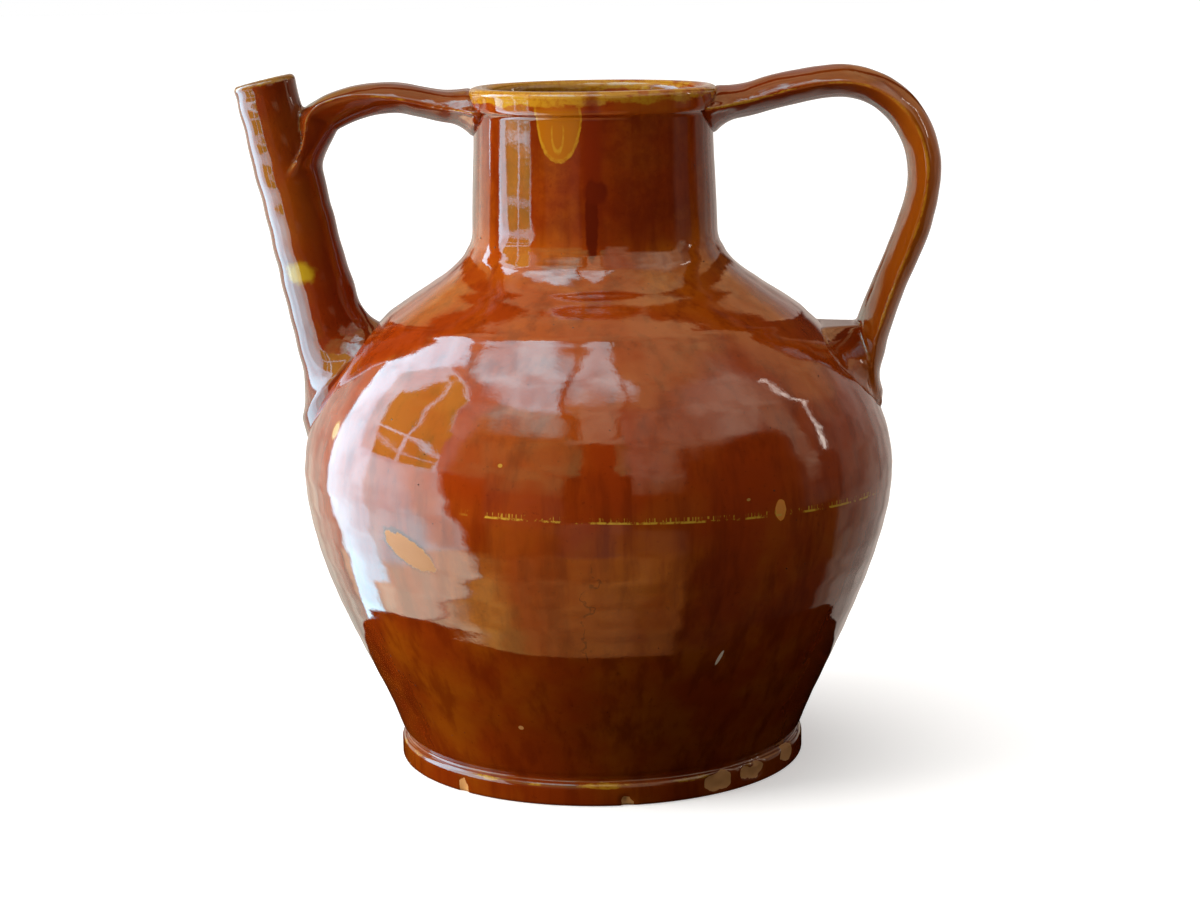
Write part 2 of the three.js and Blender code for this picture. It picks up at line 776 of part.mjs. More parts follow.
// Only the notch between the tube and the brace's outer face is filled; the inner face is left as pulled
function braceSpoutLute() {
  const { reach, height } = spoutWipe;
  const reachAt = (side) => reach * between(0, 1, facing(side) + 0.5);
  const { length } = braceStrap;
  const clearRun = length - 1.2 * braceBendLength;
  const sunkRun = length - 0.5 * braceBendLength;
  const clay = wipedStrap(braceStrap, clearRun, sunkRun, distanceToSpout, reachAt, height);
  return largestBody(
    clay.subtract(strapBlank(braceStrap, jointGap, braceSteps)).subtract(spoutPlug(jointGap)),
  );
}

// The jug, pieces in the order in which a potter puts them together

const jug = new THREE.Group();
jug.name = "water_jug";

const thrown = new THREE.Group();
thrown.add(
  piece("lower_belly", lowerBelly(), darkGlaze),
  piece("foot_ring", footRing(), wornFootClay),
  piece("shoulder", shoulder(), honeyGlaze),
  piece("neck", neck(), honeyGlaze),
  piece("rim_band", rimBand(), thinYellowGlaze),
);

const pouring = new THREE.Group();
pouring.add(
  piece("spout", spout(), honeyGlaze),
  piece("spout_collar", spoutCollar(), honeyGlaze),
  piece("spout_brace", spoutBrace(), honeyGlaze),
  piece("brace_rim_lute", braceRimLute(), thinYellowGlaze),
  piece("brace_spout_lute", braceSpoutLute(), honeyGlaze),
);

const carrying = new THREE.Group();
carrying.add(
  piece("handle", handle(), honeyGlaze),
  piece("handle_rim_lute", handleRimLute(), thinYellowGlaze),
  piece("handle_foot_lute", handleFootLute(), honeyGlaze),
);

jug.add(thrown, pouring, carrying);

export default jug;
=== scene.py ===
import math

import bpy
import numpy as np
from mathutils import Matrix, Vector, noise
from mathutils.kdtree import KDTree


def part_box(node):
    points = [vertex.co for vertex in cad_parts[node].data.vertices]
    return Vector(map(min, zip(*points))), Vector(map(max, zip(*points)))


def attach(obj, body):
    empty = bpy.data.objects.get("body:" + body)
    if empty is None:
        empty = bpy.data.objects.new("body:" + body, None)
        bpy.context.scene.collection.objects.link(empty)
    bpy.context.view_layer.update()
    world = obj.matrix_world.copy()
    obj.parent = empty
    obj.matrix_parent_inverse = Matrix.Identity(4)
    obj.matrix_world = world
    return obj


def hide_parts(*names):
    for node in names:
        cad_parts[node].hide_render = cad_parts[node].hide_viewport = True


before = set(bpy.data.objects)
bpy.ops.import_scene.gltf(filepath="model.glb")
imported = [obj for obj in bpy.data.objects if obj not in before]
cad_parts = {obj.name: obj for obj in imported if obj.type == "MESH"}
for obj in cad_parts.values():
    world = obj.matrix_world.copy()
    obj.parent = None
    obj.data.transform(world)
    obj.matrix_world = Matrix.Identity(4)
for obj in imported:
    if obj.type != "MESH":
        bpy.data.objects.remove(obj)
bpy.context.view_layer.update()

# The camera stands where the photograph was taken from: a little over a metre in front of the jug and above
# its rim, tipped down by 10.7 degrees and turned slightly clockwise. The picture is 1200 by 900.
PICTURE_WIDTH = 1200
FOCAL_PIXELS = 2664
CAMERA_PLACE = (0.00084, -1.0976, 0.33565)
CAMERA_PITCH = math.radians(10.7)
CAMERA_ROLL = math.radians(0.86)
SENSOR = 36.0

camera_data = bpy.data.cameras.new("photo_camera")
camera_data.sensor_width = SENSOR
camera_data.lens = SENSOR * FOCAL_PIXELS / PICTURE_WIDTH
camera = bpy.data.objects.new("photo_camera", camera_data)
camera.location = CAMERA_PLACE
forward = Vector((0, math.cos(CAMERA_PITCH), -math.sin(CAMERA_PITCH)))
camera.rotation_euler = forward.to_track_quat("-Z", "Y").to_euler()
camera.rotation_euler.rotate_axis("Z", -CAMERA_ROLL)
bpy.context.scene.collection.objects.link(camera)
bpy.context.scene.camera = camera
bpy.context.scene.view_settings.view_transform = "Standard"


# Thrown body: red earthenware, thrown on a wheel in two sections with a collar neck and a banded lip, on a
# turned foot ring. One skin of glaze runs over all of it, so it is one closed wall from foot to floor, with
# throwing rings, the slight lumps that a hand leaves and chips broken out of the foot.
MM = 0.001
FOOT_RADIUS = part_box("foot_ring")[1].x
FOOT_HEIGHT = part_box("foot_ring")[1].z
ROOT = (82.2 * MM, 8 * MM)
ROOT_LEAN = math.radians(68)
BELLY = (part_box("lower_belly")[1].x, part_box("lower_belly")[1].z)
SHOULDER = (88.7 * MM, 185.5 * MM)
SHOULDER_SLOPE = math.radians(42.8)
NECK_ROOT = (51.1 * MM, 221.7 * MM)
CREASE = (49.6 * MM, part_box("rim_band")[0].z)
LIP_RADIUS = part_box("rim_band")[1].x
RIM_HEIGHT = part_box("rim_band")[1].z
WALL = 6 * MM
FLOOR = 9 * MM
HOLLOW_START = 31 * MM


def bezier(start, leave, arrive, end, steps):
    """Points of a cubic curve from start to end, whose two handles are given as offsets from its ends."""
    t = np.linspace(0, 1, steps + 1)[:, None]
    a, d = np.array(start, float), np.array(end, float)
    b, c = a + np.array(leave), d - np.array(arrive)
    return (1 - t) ** 3 * a + 3 * (1 - t) ** 2 * t * b + 3 * (1 - t) * t ** 2 * c + t ** 3 * d


def sweep(start, leaving, end, arriving, steps):
    """A cubic curve whose handles are given as (direction, share of the chord)."""
    chord = math.dist(start, end)
    handles = [np.array(way) * share * chord for way, share in (leaving, arriving)]
    return bezier(start, handles[0], handles[1], end, steps)


def arc(centre, reach, rise, start, end, steps):
    turn = np.radians(np.linspace(start, end, steps + 1))
    return np.column_stack([centre[0] + reach * np.cos(turn), centre[1] + rise * np.sin(turn)])


def body_outline():
    """The outside of the wall from the foot's groove to the crease under the lip, as radius and height."""
    up, lean = (0, 1), (math.cos(ROOT_LEAN), math.sin(ROOT_LEAN))
    inward = (-math.cos(SHOULDER_SLOPE), math.sin(SHOULDER_SLOPE))
    return np.vstack([
        sweep(ROOT, (lean, 0.306), BELLY, (up, 0.287), 62),
        sweep(BELLY, (up, 0.472), SHOULDER, (inward, 0.161), 40)[1:],
        sweep(SHOULDER, (inward, 0.322), NECK_ROOT, (up, 0.322), 30)[1:],
        sweep(NECK_ROOT, (up, 1 / 3), CREASE, (up, 1 / 3), 26)[1:],
    ])


OUTLINE = body_outline()


def radius_at(height):
    return np.interp(height, OUTLINE[:, 1], OUTLINE[:, 0])


def ease(low, high, value):
    """A smooth climb from 0 at low to 1 at high."""
    share = np.clip((np.asarray(value, float) - low) / (high - low), 0, 1)
    return share * share * (3 - 2 * share)


def wall_profile():
    """The whole section of the thrown body as one line: underside, foot, outside, lip, bore and floor."""
    groove = radius_at(FOOT_HEIGHT) - 0.5 * MM
    edge, edge_rise, bead, bead_rise = 1.6 * MM, 1.4 * MM, 2.2 * MM, 2.6 * MM
    shelf, undercut, roll, rounding, inner_rounding = 0.5 * MM, 2.4 * MM, 3.8 * MM, 3.2 * MM, 4 * MM
    bore = CREASE[0] - WALL
    roll_centre = LIP_RADIUS - roll
    along = np.gradient(OUTLINE, axis=0)
    along /= np.linalg.norm(along, axis=1)[:, None]
    inner = OUTLINE + WALL * np.column_stack([-along[:, 1], along[:, 0]])
    inner = inner[(inner[:, 1] > HOLLOW_START) & (inner[:, 1] < CREASE[1] - WALL)][::-3]
    return np.vstack([
        [(0, 0), (28 * MM, 0), (56 * MM, 0), (72 * MM, 0), (80 * MM, 0)],
        arc((FOOT_RADIUS - edge, edge_rise), edge, edge_rise, -90, 0, 5),
        [(FOOT_RADIUS, z * MM) for z in (2.4, 3.5, 4.6, 5.7)],
        arc((FOOT_RADIUS - bead, FOOT_HEIGHT - 3 * MM), bead, bead_rise, 0, 78, 7),
        [(groove, FOOT_HEIGHT + 0.1 * MM), (groove + 0.4 * MM, FOOT_HEIGHT + 1.1 * MM)],
        OUTLINE[OUTLINE[:, 1] > FOOT_HEIGHT + 1.9 * MM],
        arc((CREASE[0] + shelf, CREASE[1] + undercut), LIP_RADIUS - CREASE[0] - shelf, undercut, -90, 0, 5),
        [(LIP_RADIUS, CREASE[1] + 4 * MM), (LIP_RADIUS, CREASE[1] + 5.2 * MM)],
        arc((roll_centre, RIM_HEIGHT - rounding), roll, rounding, 0, 90, 9),
        arc((roll_centre, RIM_HEIGHT - inner_rounding), roll_centre - bore, inner_rounding, 90, 180, 8)[1:],
        [(bore, RIM_HEIGHT - 7 * MM), (bore, RIM_HEIGHT - 11 * MM)],
        inner,
        bezier(inner[-1], (-2 * MM, -12 * MM), (-20 * MM, 0), (inner[-1][0] - 30 * MM, FLOOR), 10)[1:],
        [(40 * MM, FLOOR), (20 * MM, FLOOR), (0, FLOOR)],
    ])


def lump(place, size, seed):
    """Smooth noise between about -1 and 1 whose lumps are size metres across."""
    return noise.noise(Vector(place) / size + Vector((seed, 0, 0))) * 1.6


def surface_mesh(name, rings, closed=True, capped=False):
    """A mesh through rings of points. Closed joins the last ring to the first, and capped fans over both
    ends."""
    rows, count = len(rings), len(rings[0])
    points = [tuple(p) for ring in rings for p in ring]
    faces = []
    for row in range(rows if closed else rows - 1):
        here, above = row * count, (row + 1) % rows * count
        for side in range(count):
            beside = (side + 1) % count
            faces.append((here + side, here + beside, above + beside, above + side))
    if capped:
        for row, turned in ((0, True), (rows - 1, False)):
            points.append(tuple(np.mean(rings[row], axis=0)))
            hub = len(points) - 1
            for side in range(count):
                edge = (row * count + side, row * count + (side + 1) % count)
                faces.append((edge[1], edge[0], hub) if turned else (edge[0], edge[1], hub))
    mesh = bpy.data.meshes.new(name)
    mesh.from_pydata(points, [], faces)
    mesh.validate()
    mesh.shade_smooth()
    return mesh


# Chips out of the foot: degrees right of the front, height and half width in mm
FOOT_CHIPS = [(64.5, 6.5, 8.0), (46.0, 5.5, 7.4), (33.5, 5.2, 7.0), (6.5, 1.0, 3.6), (-42.0, 2.0, 3.0)]
CHIP_HALF_HEIGHT = 4.5
# Ridges left by a fingertip: height and rise in mm
RIDGES = ((213.6, 0.30), (200.4, 0.30), (187.5, 0.35), (124.0, 0.25))
RIDGE_WIDTH = 1.5
RING_PITCH = 10.5 * MM
BODY_SIDES = 320


def chip_depth(turn, height):
    """The share of its full depth to which the foot is broken away at a place."""
    depth = 0.0
    for angle, middle, half in FOOT_CHIPS:
        across = FOOT_RADIUS * math.remainder(turn - math.radians(angle - 90), 2 * math.pi) / MM
        off = math.hypot(across / half, (height / MM - middle) / CHIP_HALF_HEIGHT)
        off += 0.30 * lump((across * MM, height, angle * MM), 5 * MM, 8.0)
        depth = max(depth, float(1 - ease(0.55, 1.0, off)))
    return depth


def relief_at(height):
    """At one height: how much of the hand's unevenness shows, the throwing rings' rise and the ridges."""
    shown = ease(12 * MM, 30 * MM, height) * (1 - ease(RIM_HEIGHT - 6 * MM, RIM_HEIGHT, height))
    thrown = (0.06 - 0.05 * float(ease(200 * MM, 220 * MM, height))) * MM
    ridge = sum(rise * math.exp(-((height / MM - at) / RIDGE_WIDTH) ** 2) for at, rise in RIDGES) * MM
    return float(shown), thrown, ridge


def thrown_body():
    """The section turned about the axis, with throwing rings, a slow wobble and soft lumps, all inwards,
    and the share of thin glaze on the foot's bead and on the lip, with more of it towards the tube."""
    profile = wall_profile()[1:-1]
    lip_start = int(np.argmax(profile[:, 1] >= CREASE[1] - 0.1 * MM))
    top = int(np.argmax(profile[:, 1]))
    rings, thin = [], []
    for row, (radius, height) in enumerate(profile):
        shown, thrown, ridge = relief_at(height)
        bead = lip = 0.0
        if row < lip_start:
            bead = 0.45 * math.exp(-((height - FOOT_HEIGHT + 1.5 * MM) / (1.6 * MM)) ** 2)
        else:
            lip = float(ease(CREASE[1] + 0.5 * MM, RIM_HEIGHT - 2.5 * MM, height))
            lip *= float(ease(top + 16, top + 4, row))
        ring = []
        for step in range(BODY_SIDES):
            turn = 2 * math.pi * step / BODY_SIDES
            x, y = math.cos(turn), math.sin(turn)
            place = (x * radius, y * radius, height)
            inset = 0.0
            if row <= top:
                spiral = math.sin(2 * math.pi * (height / RING_PITCH + turn / (2 * math.pi)))
                soft = 0.36 * lump(place, 52 * MM, 3.1) + 0.07 * lump(place, 17 * MM, 9.4)
                inset = shown * (0.55 * MM - soft * MM - thrown * spiral - ridge)
                if height < FOOT_HEIGHT:
                    broken = chip_depth(turn, height)
                    inset += broken * (0.9 + 0.5 * lump(place, 3 * MM, 6.0)) * MM
            ring.append(((radius - inset) * x, (radius - inset) * y, height))
            thin.append(max(lip * (0.73 - 0.21 * x), bead))
        rings.append(ring)
    mesh = surface_mesh("thrown_body", rings, closed=False, capped=True)
    mark(mesh, "thin_glaze", thin)
    return bpy.data.objects.new("thrown_body", mesh)


def mark(mesh, layer_name, shares):
    """Stores a share from 0 to 1 for each vertex, which the material reads; the caps' hubs get 0."""
    layer = mesh.attributes.new(layer_name, "FLOAT", "POINT")
    filled = np.zeros(len(mesh.vertices), dtype=np.float32)
    filled[:len(shares)] = shares
    layer.data.foreach_set("value", filled)


def to_linear(code):
    """An sRGB hex colour as linear RGBA."""
    parts = [int(code[i:i + 2], 16) / 255 for i in (1, 3, 5)]
    return (*[c / 12.92 if c <= 0.04045 else ((c + 0.055) / 1.055) ** 2.4 for c in parts], 1.0)


def add(tree, kind, inputs=(), **settings):
    """Adds a node, sets what is named and fills its inputs, given in order or as {input: source}. A source
    is a value, a (node, output) pair, or a node alone, whose first output in use is meant."""
    made = tree.nodes.new(kind)
    for key, value in settings.items():
        setattr(made, key, value)
    for socket, source in inputs.items() if isinstance(inputs, dict) else enumerate(inputs):
        if hasattr(source, "outputs"):
            tree.links.new(next(output for output in source.outputs if output.enabled), made.inputs[socket])
        elif isinstance(source, tuple) and hasattr(source[0], "outputs"):
            tree.links.new(source[0].outputs[source[1]], made.inputs[socket])
        else:
            made.inputs[socket].default_value = source
    return made


# Lead-glazed earthenware: a glassy amber lead glaze over red clay. It is honey-yellow where it ran thin, on
# rims and arrises, orange-brown on the walls and nearly black where it pooled, with iron specks; that nearly
# black also serves as painted shade, towards the foot and on the straps' level faces. Its skin is wavy like
# orange peel, so whatever it mirrors has ragged edges.
DARKEST_GLAZE_AND_SHADE = to_linear("#481202")
BROWN = to_linear("#6f2203")
RED = to_linear("#8b2e06")
AMBER = to_linear("#a6560a")
HONEY = to_linear("#ae7817")
BARE_CLAY = to_linear("#c98a4a")
GLAZE_IOR = 1.62
CLOUD_SIZE = 38 * MM
RUN_SIZE = 9 * MM
SMEAR_SIZE = 16 * MM
GRAIN_SIZE = 2.2 * MM
PEEL_SIZE = 7 * MM
PEEL_DEPTH = 0.035 * MM
PORE_DEPTH = 0.021 * MM
REDDEST_HEIGHT = 155 * MM
AMBER_CLIMB = (15 * MM, 65 * MM)
PAINTED_SHADE_HEIGHTS = (130 * MM, 35 * MM)


def wall_colour(tree, spot, height, streaks, depth, clouds, fine):
    """Orange-brown with amber clouds, fewest near the widest line, brown runs and painted shade at the foot.
    """
    drawn = (add(tree, "ShaderNodeMapping", {"Vector": spot, "Scale": streaks}), "Vector")
    runs = add(tree, "ShaderNodeTexNoise", {
        "Vector": drawn, "Scale": 1 / RUN_SIZE, "Detail": 4.0, "Roughness": 0.6})
    off_reddest = add(tree, "ShaderNodeMath", [
        add(tree, "ShaderNodeMath", [height, REDDEST_HEIGHT], operation="SUBTRACT")],
        operation="ABSOLUTE")
    amber = add(tree, "ShaderNodeMapRange", [
        off_reddest, *AMBER_CLIMB, 0.30, 1.0], interpolation_type="SMOOTHSTEP")
    amber = add(tree, "ShaderNodeMath", [
        add(tree, "ShaderNodeMapRange", [
            clouds, 0.40, 0.68, 0.10, 0.70], interpolation_type="SMOOTHSTEP"),
        amber], operation="MULTIPLY")
    colour = add(tree, "ShaderNodeMix", {"Factor": amber, 6: RED, 7: AMBER}, data_type="RGBA")
    colour = add(tree, "ShaderNodeMix", {
        "Factor": add(tree, "ShaderNodeMapRange", [
            runs, 0.44, 0.68, depth, 0.65 + 0.3 * depth], interpolation_type="SMOOTHSTEP"),
        6: colour, 7: BROWN}, data_type="RGBA")
    # Painted shade: the lower belly is darkened towards the foot, by up to 0.30 of the way to the darkest
    # glaze.
    colour = add(tree, "ShaderNodeMix", {
        "Factor": add(tree, "ShaderNodeMath", [
            add(tree, "ShaderNodeMapRange", [height, *PAINTED_SHADE_HEIGHTS], interpolation_type="SMOOTHSTEP"), 0.30],
            operation="MULTIPLY"),
        6: colour, 7: DARKEST_GLAZE_AND_SHADE}, data_type="RGBA")
    return add(tree, "ShaderNodeMix", {
        "Factor": add(tree, "ShaderNodeMapRange", [
            fine, 0.60, 0.74, 0.0, 0.40], interpolation_type="SMOOTHSTEP"),
        6: colour, 7: DARKEST_GLAZE_AND_SHADE}, data_type="RGBA")


def thin_edges(tree, spot, fine, colour):
    """Honey where the mesh says that the glaze ran thin, with a smeared and uneven edge."""
    thin_here = (add(tree, "ShaderNodeAttribute", attribute_name="thin_glaze"), "Fac")
    level = (add(tree, "ShaderNodeMapping", {"Vector": spot, "Scale": (1.0, 1.0, 2.2)}), "Vector")
    smears = add(tree, "ShaderNodeTexNoise", {
        "Vector": level, "Scale": 1 / SMEAR_SIZE, "Detail": 5.0, "Roughness": 0.6})
    uneven = add(tree, "ShaderNodeMath", [smears, 1.3, -0.65], operation="MULTIPLY_ADD")
    honey = add(tree, "ShaderNodeMapRange", [
        add(tree, "ShaderNodeMath", [thin_here, uneven], operation="SUBTRACT"), 0.42, 0.58],
        interpolation_type="SMOOTHSTEP")
    honey = add(tree, "ShaderNodeMath", [
        honey, add(tree, "ShaderNodeMapRange", [thin_here, 0.02, 0.2], interpolation_type="SMOOTHSTEP")],
        operation="MULTIPLY")
    honey = add(tree, "ShaderNodeMath", [
        honey,
        add(tree, "ShaderNodeMapRange", [fine, 0.66, 0.45, 0.55, 1.0], interpolation_type="SMOOTHSTEP")],
        operation="MULTIPLY")
    return add(tree, "ShaderNodeMix", {"Factor": honey, 6: colour, 7: HONEY}, data_type="RGBA")


def glaze(name, streaks, depth=0.0, extra=None):
    """The glaze. Its runs are drawn out along the axes where streaks is small, depth is how far it goes
    towards brown all over, and extra lays more over its colour and roughness, given and returned as
    sockets. Low roughness gives the glassy shine, the peel bends what it mirrors and the pores break it."""
    material = bpy.data.materials.new(name)
    material.use_nodes = True
    tree = material.node_tree
    tree.nodes.clear()
    spot = (add(tree, "ShaderNodeTexCoord"), "Object")
    height = (add(tree, "ShaderNodeSeparateXYZ", {"Vector": spot}), "Z")
    clouds = add(tree, "ShaderNodeTexNoise", {
        "Vector": spot, "Scale": 1 / CLOUD_SIZE, "Detail": 5.0, "Roughness": 0.55})
    fine = add(tree, "ShaderNodeTexNoise", {
        "Vector": spot, "Scale": 1 / GRAIN_SIZE, "Detail": 4.0, "Roughness": 0.65})
    colour = wall_colour(tree, spot, height, streaks, depth, clouds, fine)
    colour = thin_edges(tree, spot, fine, colour)
    rough = add(tree, "ShaderNodeMapRange", [
        clouds, 0.35, 0.7, 0.02, 0.06], interpolation_type="SMOOTHSTEP")
    if extra:
        colour, rough = extra(tree, spot, height, colour, rough)
    peel = add(tree, "ShaderNodeTexNoise", {"Vector": spot, "Scale": 1 / PEEL_SIZE, "Detail": 2.0})
    waves = add(tree, "ShaderNodeBump", {"Height": peel, "Strength": 1.0, "Distance": PEEL_DEPTH})
    pores = add(tree, "ShaderNodeBump", {"Height": fine, "Strength": 1.0, "Distance": PORE_DEPTH,
                                         "Normal": (waves, "Normal")})
    shader = add(tree, "ShaderNodeBsdfPrincipled", {
        "Base Color": colour, "Roughness": rough, "Normal": (pores, "Normal"), "IOR": GLAZE_IOR})
    add(tree, "ShaderNodeOutputMaterial", {"Surface": (shader, "BSDF")})
    return material


def on_wall(angle, height_mm):
    """A point on the body's skin, from degrees right of the front and a height."""
    turn, height = math.radians(angle), height_mm * MM
    return Vector((radius_at(height) * math.sin(turn), -radius_at(height) * math.cos(turn), height))


# Marks: (degrees right of front, height, half width, half height in mm, tilt in degrees, colour, roughness,
# softness of the edge as a share of the half width)
MARKS = [
    (-0.6, 254.0, 3.6, 30.0, 0, to_linear("#742205"), 0.05, 0.9),
    (-1.2, 229.6, 2.6, 17.0, 0, to_linear("#5c1803"), 0.05, 0.35),
    (1.0, 240.5, 4.6, 4.6, 0, to_linear("#631b04"), 0.05, 0.5),
    (-37.4, 107.7, 6.2, 14.2, -62, to_linear("#5e2408"), 0.20, 0.25),
    (-37.2, 107.3, 5.2, 13.2, -62, to_linear("#a8744a"), 0.65, 0.10),
    (34.8, 122.8, 2.6, 4.2, 0, to_linear("#d8821a"), 0.30, 0.12),
    (-18.1, 144.1, 0.9, 0.7, 0, HONEY, 0.30, 0.3),
    (-62.8, 148.1, 2.6, 3.4, 0, HONEY, 0.30, 0.6),
    (25.5, 63.7, 0.8, 3.4, 20, to_linear("#e6d8c4"), 0.60, 0.3),
    (27.9, 128.5, 0.9, 0.6, 0, HONEY, 0.40, 0.3),
    (-20.0, 34.0, 1.1, 0.9, 0, BARE_CLAY, 0.50, 0.3),
]
# Runs below the lip: an oval as above, the share of it that its line takes, where it ends above, its filling
RUNS = [
    (-16.0, 272.0, 9.2, 19.0, 0.045, CREASE[1] + 3 * MM, to_linear("#a05a0a")),
    (-16.5, 264.0, 2.4, 7.5, 0.14, 266 * MM, None),
]
MARK_DEPTH = 5.5 * MM
NECK_GLAZE = to_linear("#641a02")
NECK_BOTTOM = (214 * MM, 232 * MM)
NECK_TOP = (CREASE[1] + 1 * MM, CREASE[1] - 1 * MM)


def oval(tree, spot, angle, height_mm, half_width, half_height, tilt=0.0):
    """Distance from a point on the wall in units of an oval on it: 1 on the oval's edge. It reaches
    less deep than the wall is thick, so that nothing shows inside the jug."""
    local = add(tree, "ShaderNodeMapping", {
        "Vector": spot, "Location": on_wall(angle, height_mm),
        "Rotation": (0.0, math.radians(tilt), math.radians(angle)),
        "Scale": (half_width * MM, MARK_DEPTH, half_height * MM)}, vector_type="TEXTURE")
    return add(tree, "ShaderNodeVectorMath", {0: (local, "Vector")}, operation="LENGTH"), "Value"


def browner_on_neck(tree, height, smudge, colour):
    """Browner glaze in patches on the neck."""
    on_neck = add(tree, "ShaderNodeMath", [
        add(tree, "ShaderNodeMapRange", [height, *NECK_BOTTOM], interpolation_type="SMOOTHSTEP"),
        add(tree, "ShaderNodeMapRange", [height, *NECK_TOP], interpolation_type="SMOOTHSTEP")],
        operation="MULTIPLY")
    share = add(tree, "ShaderNodeMath", [
        on_neck,
        add(tree, "ShaderNodeMapRange", [smudge, 0.35, 0.65, 0.40, 0.70], interpolation_type="SMOOTHSTEP")],
        operation="MULTIPLY")
    return add(tree, "ShaderNodeMix", {"Factor": share, 6: colour, 7: NECK_GLAZE}, data_type="RGBA")


def placed_marks(tree, spot, wavy, colour, rough):
    """Scars, chips and drips, each at its place on the real jug."""
    for *place, tint, roughness, softness in MARKS:
        off = add(tree, "ShaderNodeMath", [oval(tree, spot, *place), wavy], operation="ADD")
        inside = add(tree, "ShaderNodeMapRange", [
            off, 1 + softness / 2, 1 - softness / 2], interpolation_type="SMOOTHSTEP")
        colour = add(tree, "ShaderNodeMix", {"Factor": inside, 6: colour, 7: tint}, data_type="RGBA")
        rough = (add(tree, "ShaderNodeMix", {"Factor": inside, 2: rough, 3: roughness}), 0)
    return colour, rough


def runs_below_lip(tree, spot, height, wavy, smudge, colour):
    """Runs that hang from the lip, whose thin edge dried as a honey line."""
    for *place, share, top, filling in RUNS:
        reach = add(tree, "ShaderNodeMath", [
            wavy, 0.25, oval(tree, spot, *place)], operation="MULTIPLY_ADD")
        below = add(tree, "ShaderNodeMapRange", [
            height, top + 2 * MM, top - 2 * MM], interpolation_type="SMOOTHSTEP")
        if filling:
            filled = add(tree, "ShaderNodeMath", [
                add(tree, "ShaderNodeMapRange", [reach, 1.02, 0.96], interpolation_type="SMOOTHSTEP"),
                below], operation="MULTIPLY")
            colour = add(tree, "ShaderNodeMix", {
                "Factor": filled, 6: colour, 7: filling}, data_type="RGBA")
        off = add(tree, "ShaderNodeMath", [
            add(tree, "ShaderNodeMath", [reach, 1.0], operation="SUBTRACT")], operation="ABSOLUTE")
        line = add(tree, "ShaderNodeMath", [
            add(tree, "ShaderNodeMapRange", [
                off, share * 1.5, share * 0.5], interpolation_type="SMOOTHSTEP"),
            below], operation="MULTIPLY")
        line = add(tree, "ShaderNodeMath", [
            line,
            add(tree, "ShaderNodeMapRange", [
                smudge, 0.36, 0.56, 0.25, 1.0], interpolation_type="SMOOTHSTEP")], operation="MULTIPLY")
        colour = add(tree, "ShaderNodeMix", {"Factor": line, 6: colour, 7: HONEY}, data_type="RGBA")
    return colour


# Worn ring: its height at the front, how far it falls for each degree to the right, its line's outer and
# full half width, the ticks that stand on it, and the degrees between which it shows
WORN = to_linear("#c79a2e")
WORN_HEIGHT = 123.4 * MM
WORN_FALL = 0.072 * MM
WORN_LINE = (0.60 * MM, 0.20 * MM)
TICK_PITCH = 1.5 * MM
TICK_MIDDLE = 0.8 * MM
TICK_LENGTH = (1.4 * MM, 0.9 * MM)
WORN_FROM = (-27.0, -20.0)
WORN_TO = (66.0, 60.0)


def worn_ring(tree, angle, height, smudge, colour):
    """The ring round the belly where the glaze is worn through, broken up, with ticks standing on it."""
    off_ring = add(tree, "ShaderNodeMath", [
        height, add(tree, "ShaderNodeMath", [angle, WORN_FALL, -WORN_HEIGHT], operation="MULTIPLY_ADD")],
        operation="ADD")
    line = add(tree, "ShaderNodeMapRange", [
        add(tree, "ShaderNodeMath", [off_ring], operation="ABSOLUTE"), *WORN_LINE],
        interpolation_type="SMOOTHSTEP")
    tick_rate = 2 * math.pi * math.radians(1) * BELLY[0] / TICK_PITCH
    strokes = add(tree, "ShaderNodeTexNoise", {
        "W": add(tree, "ShaderNodeMath", [angle, tick_rate], operation="MULTIPLY"), "Scale": 0.24,
        "Detail": 2.0}, noise_dimensions="1D")
    off_ticks = add(tree, "ShaderNodeMath", [
        add(tree, "ShaderNodeMath", [off_ring, -TICK_MIDDLE], operation="ADD")], operation="ABSOLUTE")
    ticks = add(tree, "ShaderNodeMapRange", [
        (strokes, "Fac"), 0.53, 0.60], interpolation_type="SMOOTHSTEP")
    ticks = add(tree, "ShaderNodeMath", [
        ticks, add(tree, "ShaderNodeMapRange", [off_ticks, *TICK_LENGTH], interpolation_type="SMOOTHSTEP")],
        operation="MULTIPLY")
    worn = add(tree, "ShaderNodeMath", [
        line, add(tree, "ShaderNodeMath", [ticks, 0.75], operation="MULTIPLY")], operation="MAXIMUM")
    gaps = add(tree, "ShaderNodeMapRange", [
        add(tree, "ShaderNodeMath", [angle, 0.0012, smudge], operation="MULTIPLY_ADD"), 0.47, 0.58],
        interpolation_type="SMOOTHSTEP")
    span = add(tree, "ShaderNodeMath", [
        add(tree, "ShaderNodeMapRange", [angle, *WORN_FROM], interpolation_type="SMOOTHSTEP"),
        add(tree, "ShaderNodeMapRange", [angle, *WORN_TO], interpolation_type="SMOOTHSTEP")],
        operation="MULTIPLY")
    worn = add(tree, "ShaderNodeMath", [worn, gaps], operation="MULTIPLY")
    return add(tree, "ShaderNodeMix", {
        "Factor": add(tree, "ShaderNodeMath", [worn, span], operation="MULTIPLY"), 6: colour, 7: WORN},
        data_type="RGBA")


# Hairline crack: degrees right of the front at the table, degrees that it leans for each metre up, its
# outer and full half width in degrees, and the heights where it starts and ends
CRACK_ANGLE = -9.8
CRACK_LEAN = 85.0
CRACK_WANDER = 9.0
CRACK_WIDTH = (0.30, 0.06)
CRACK_BOTTOM = (58 * MM, 68 * MM)
CRACK_TOP = (112 * MM, 100 * MM)


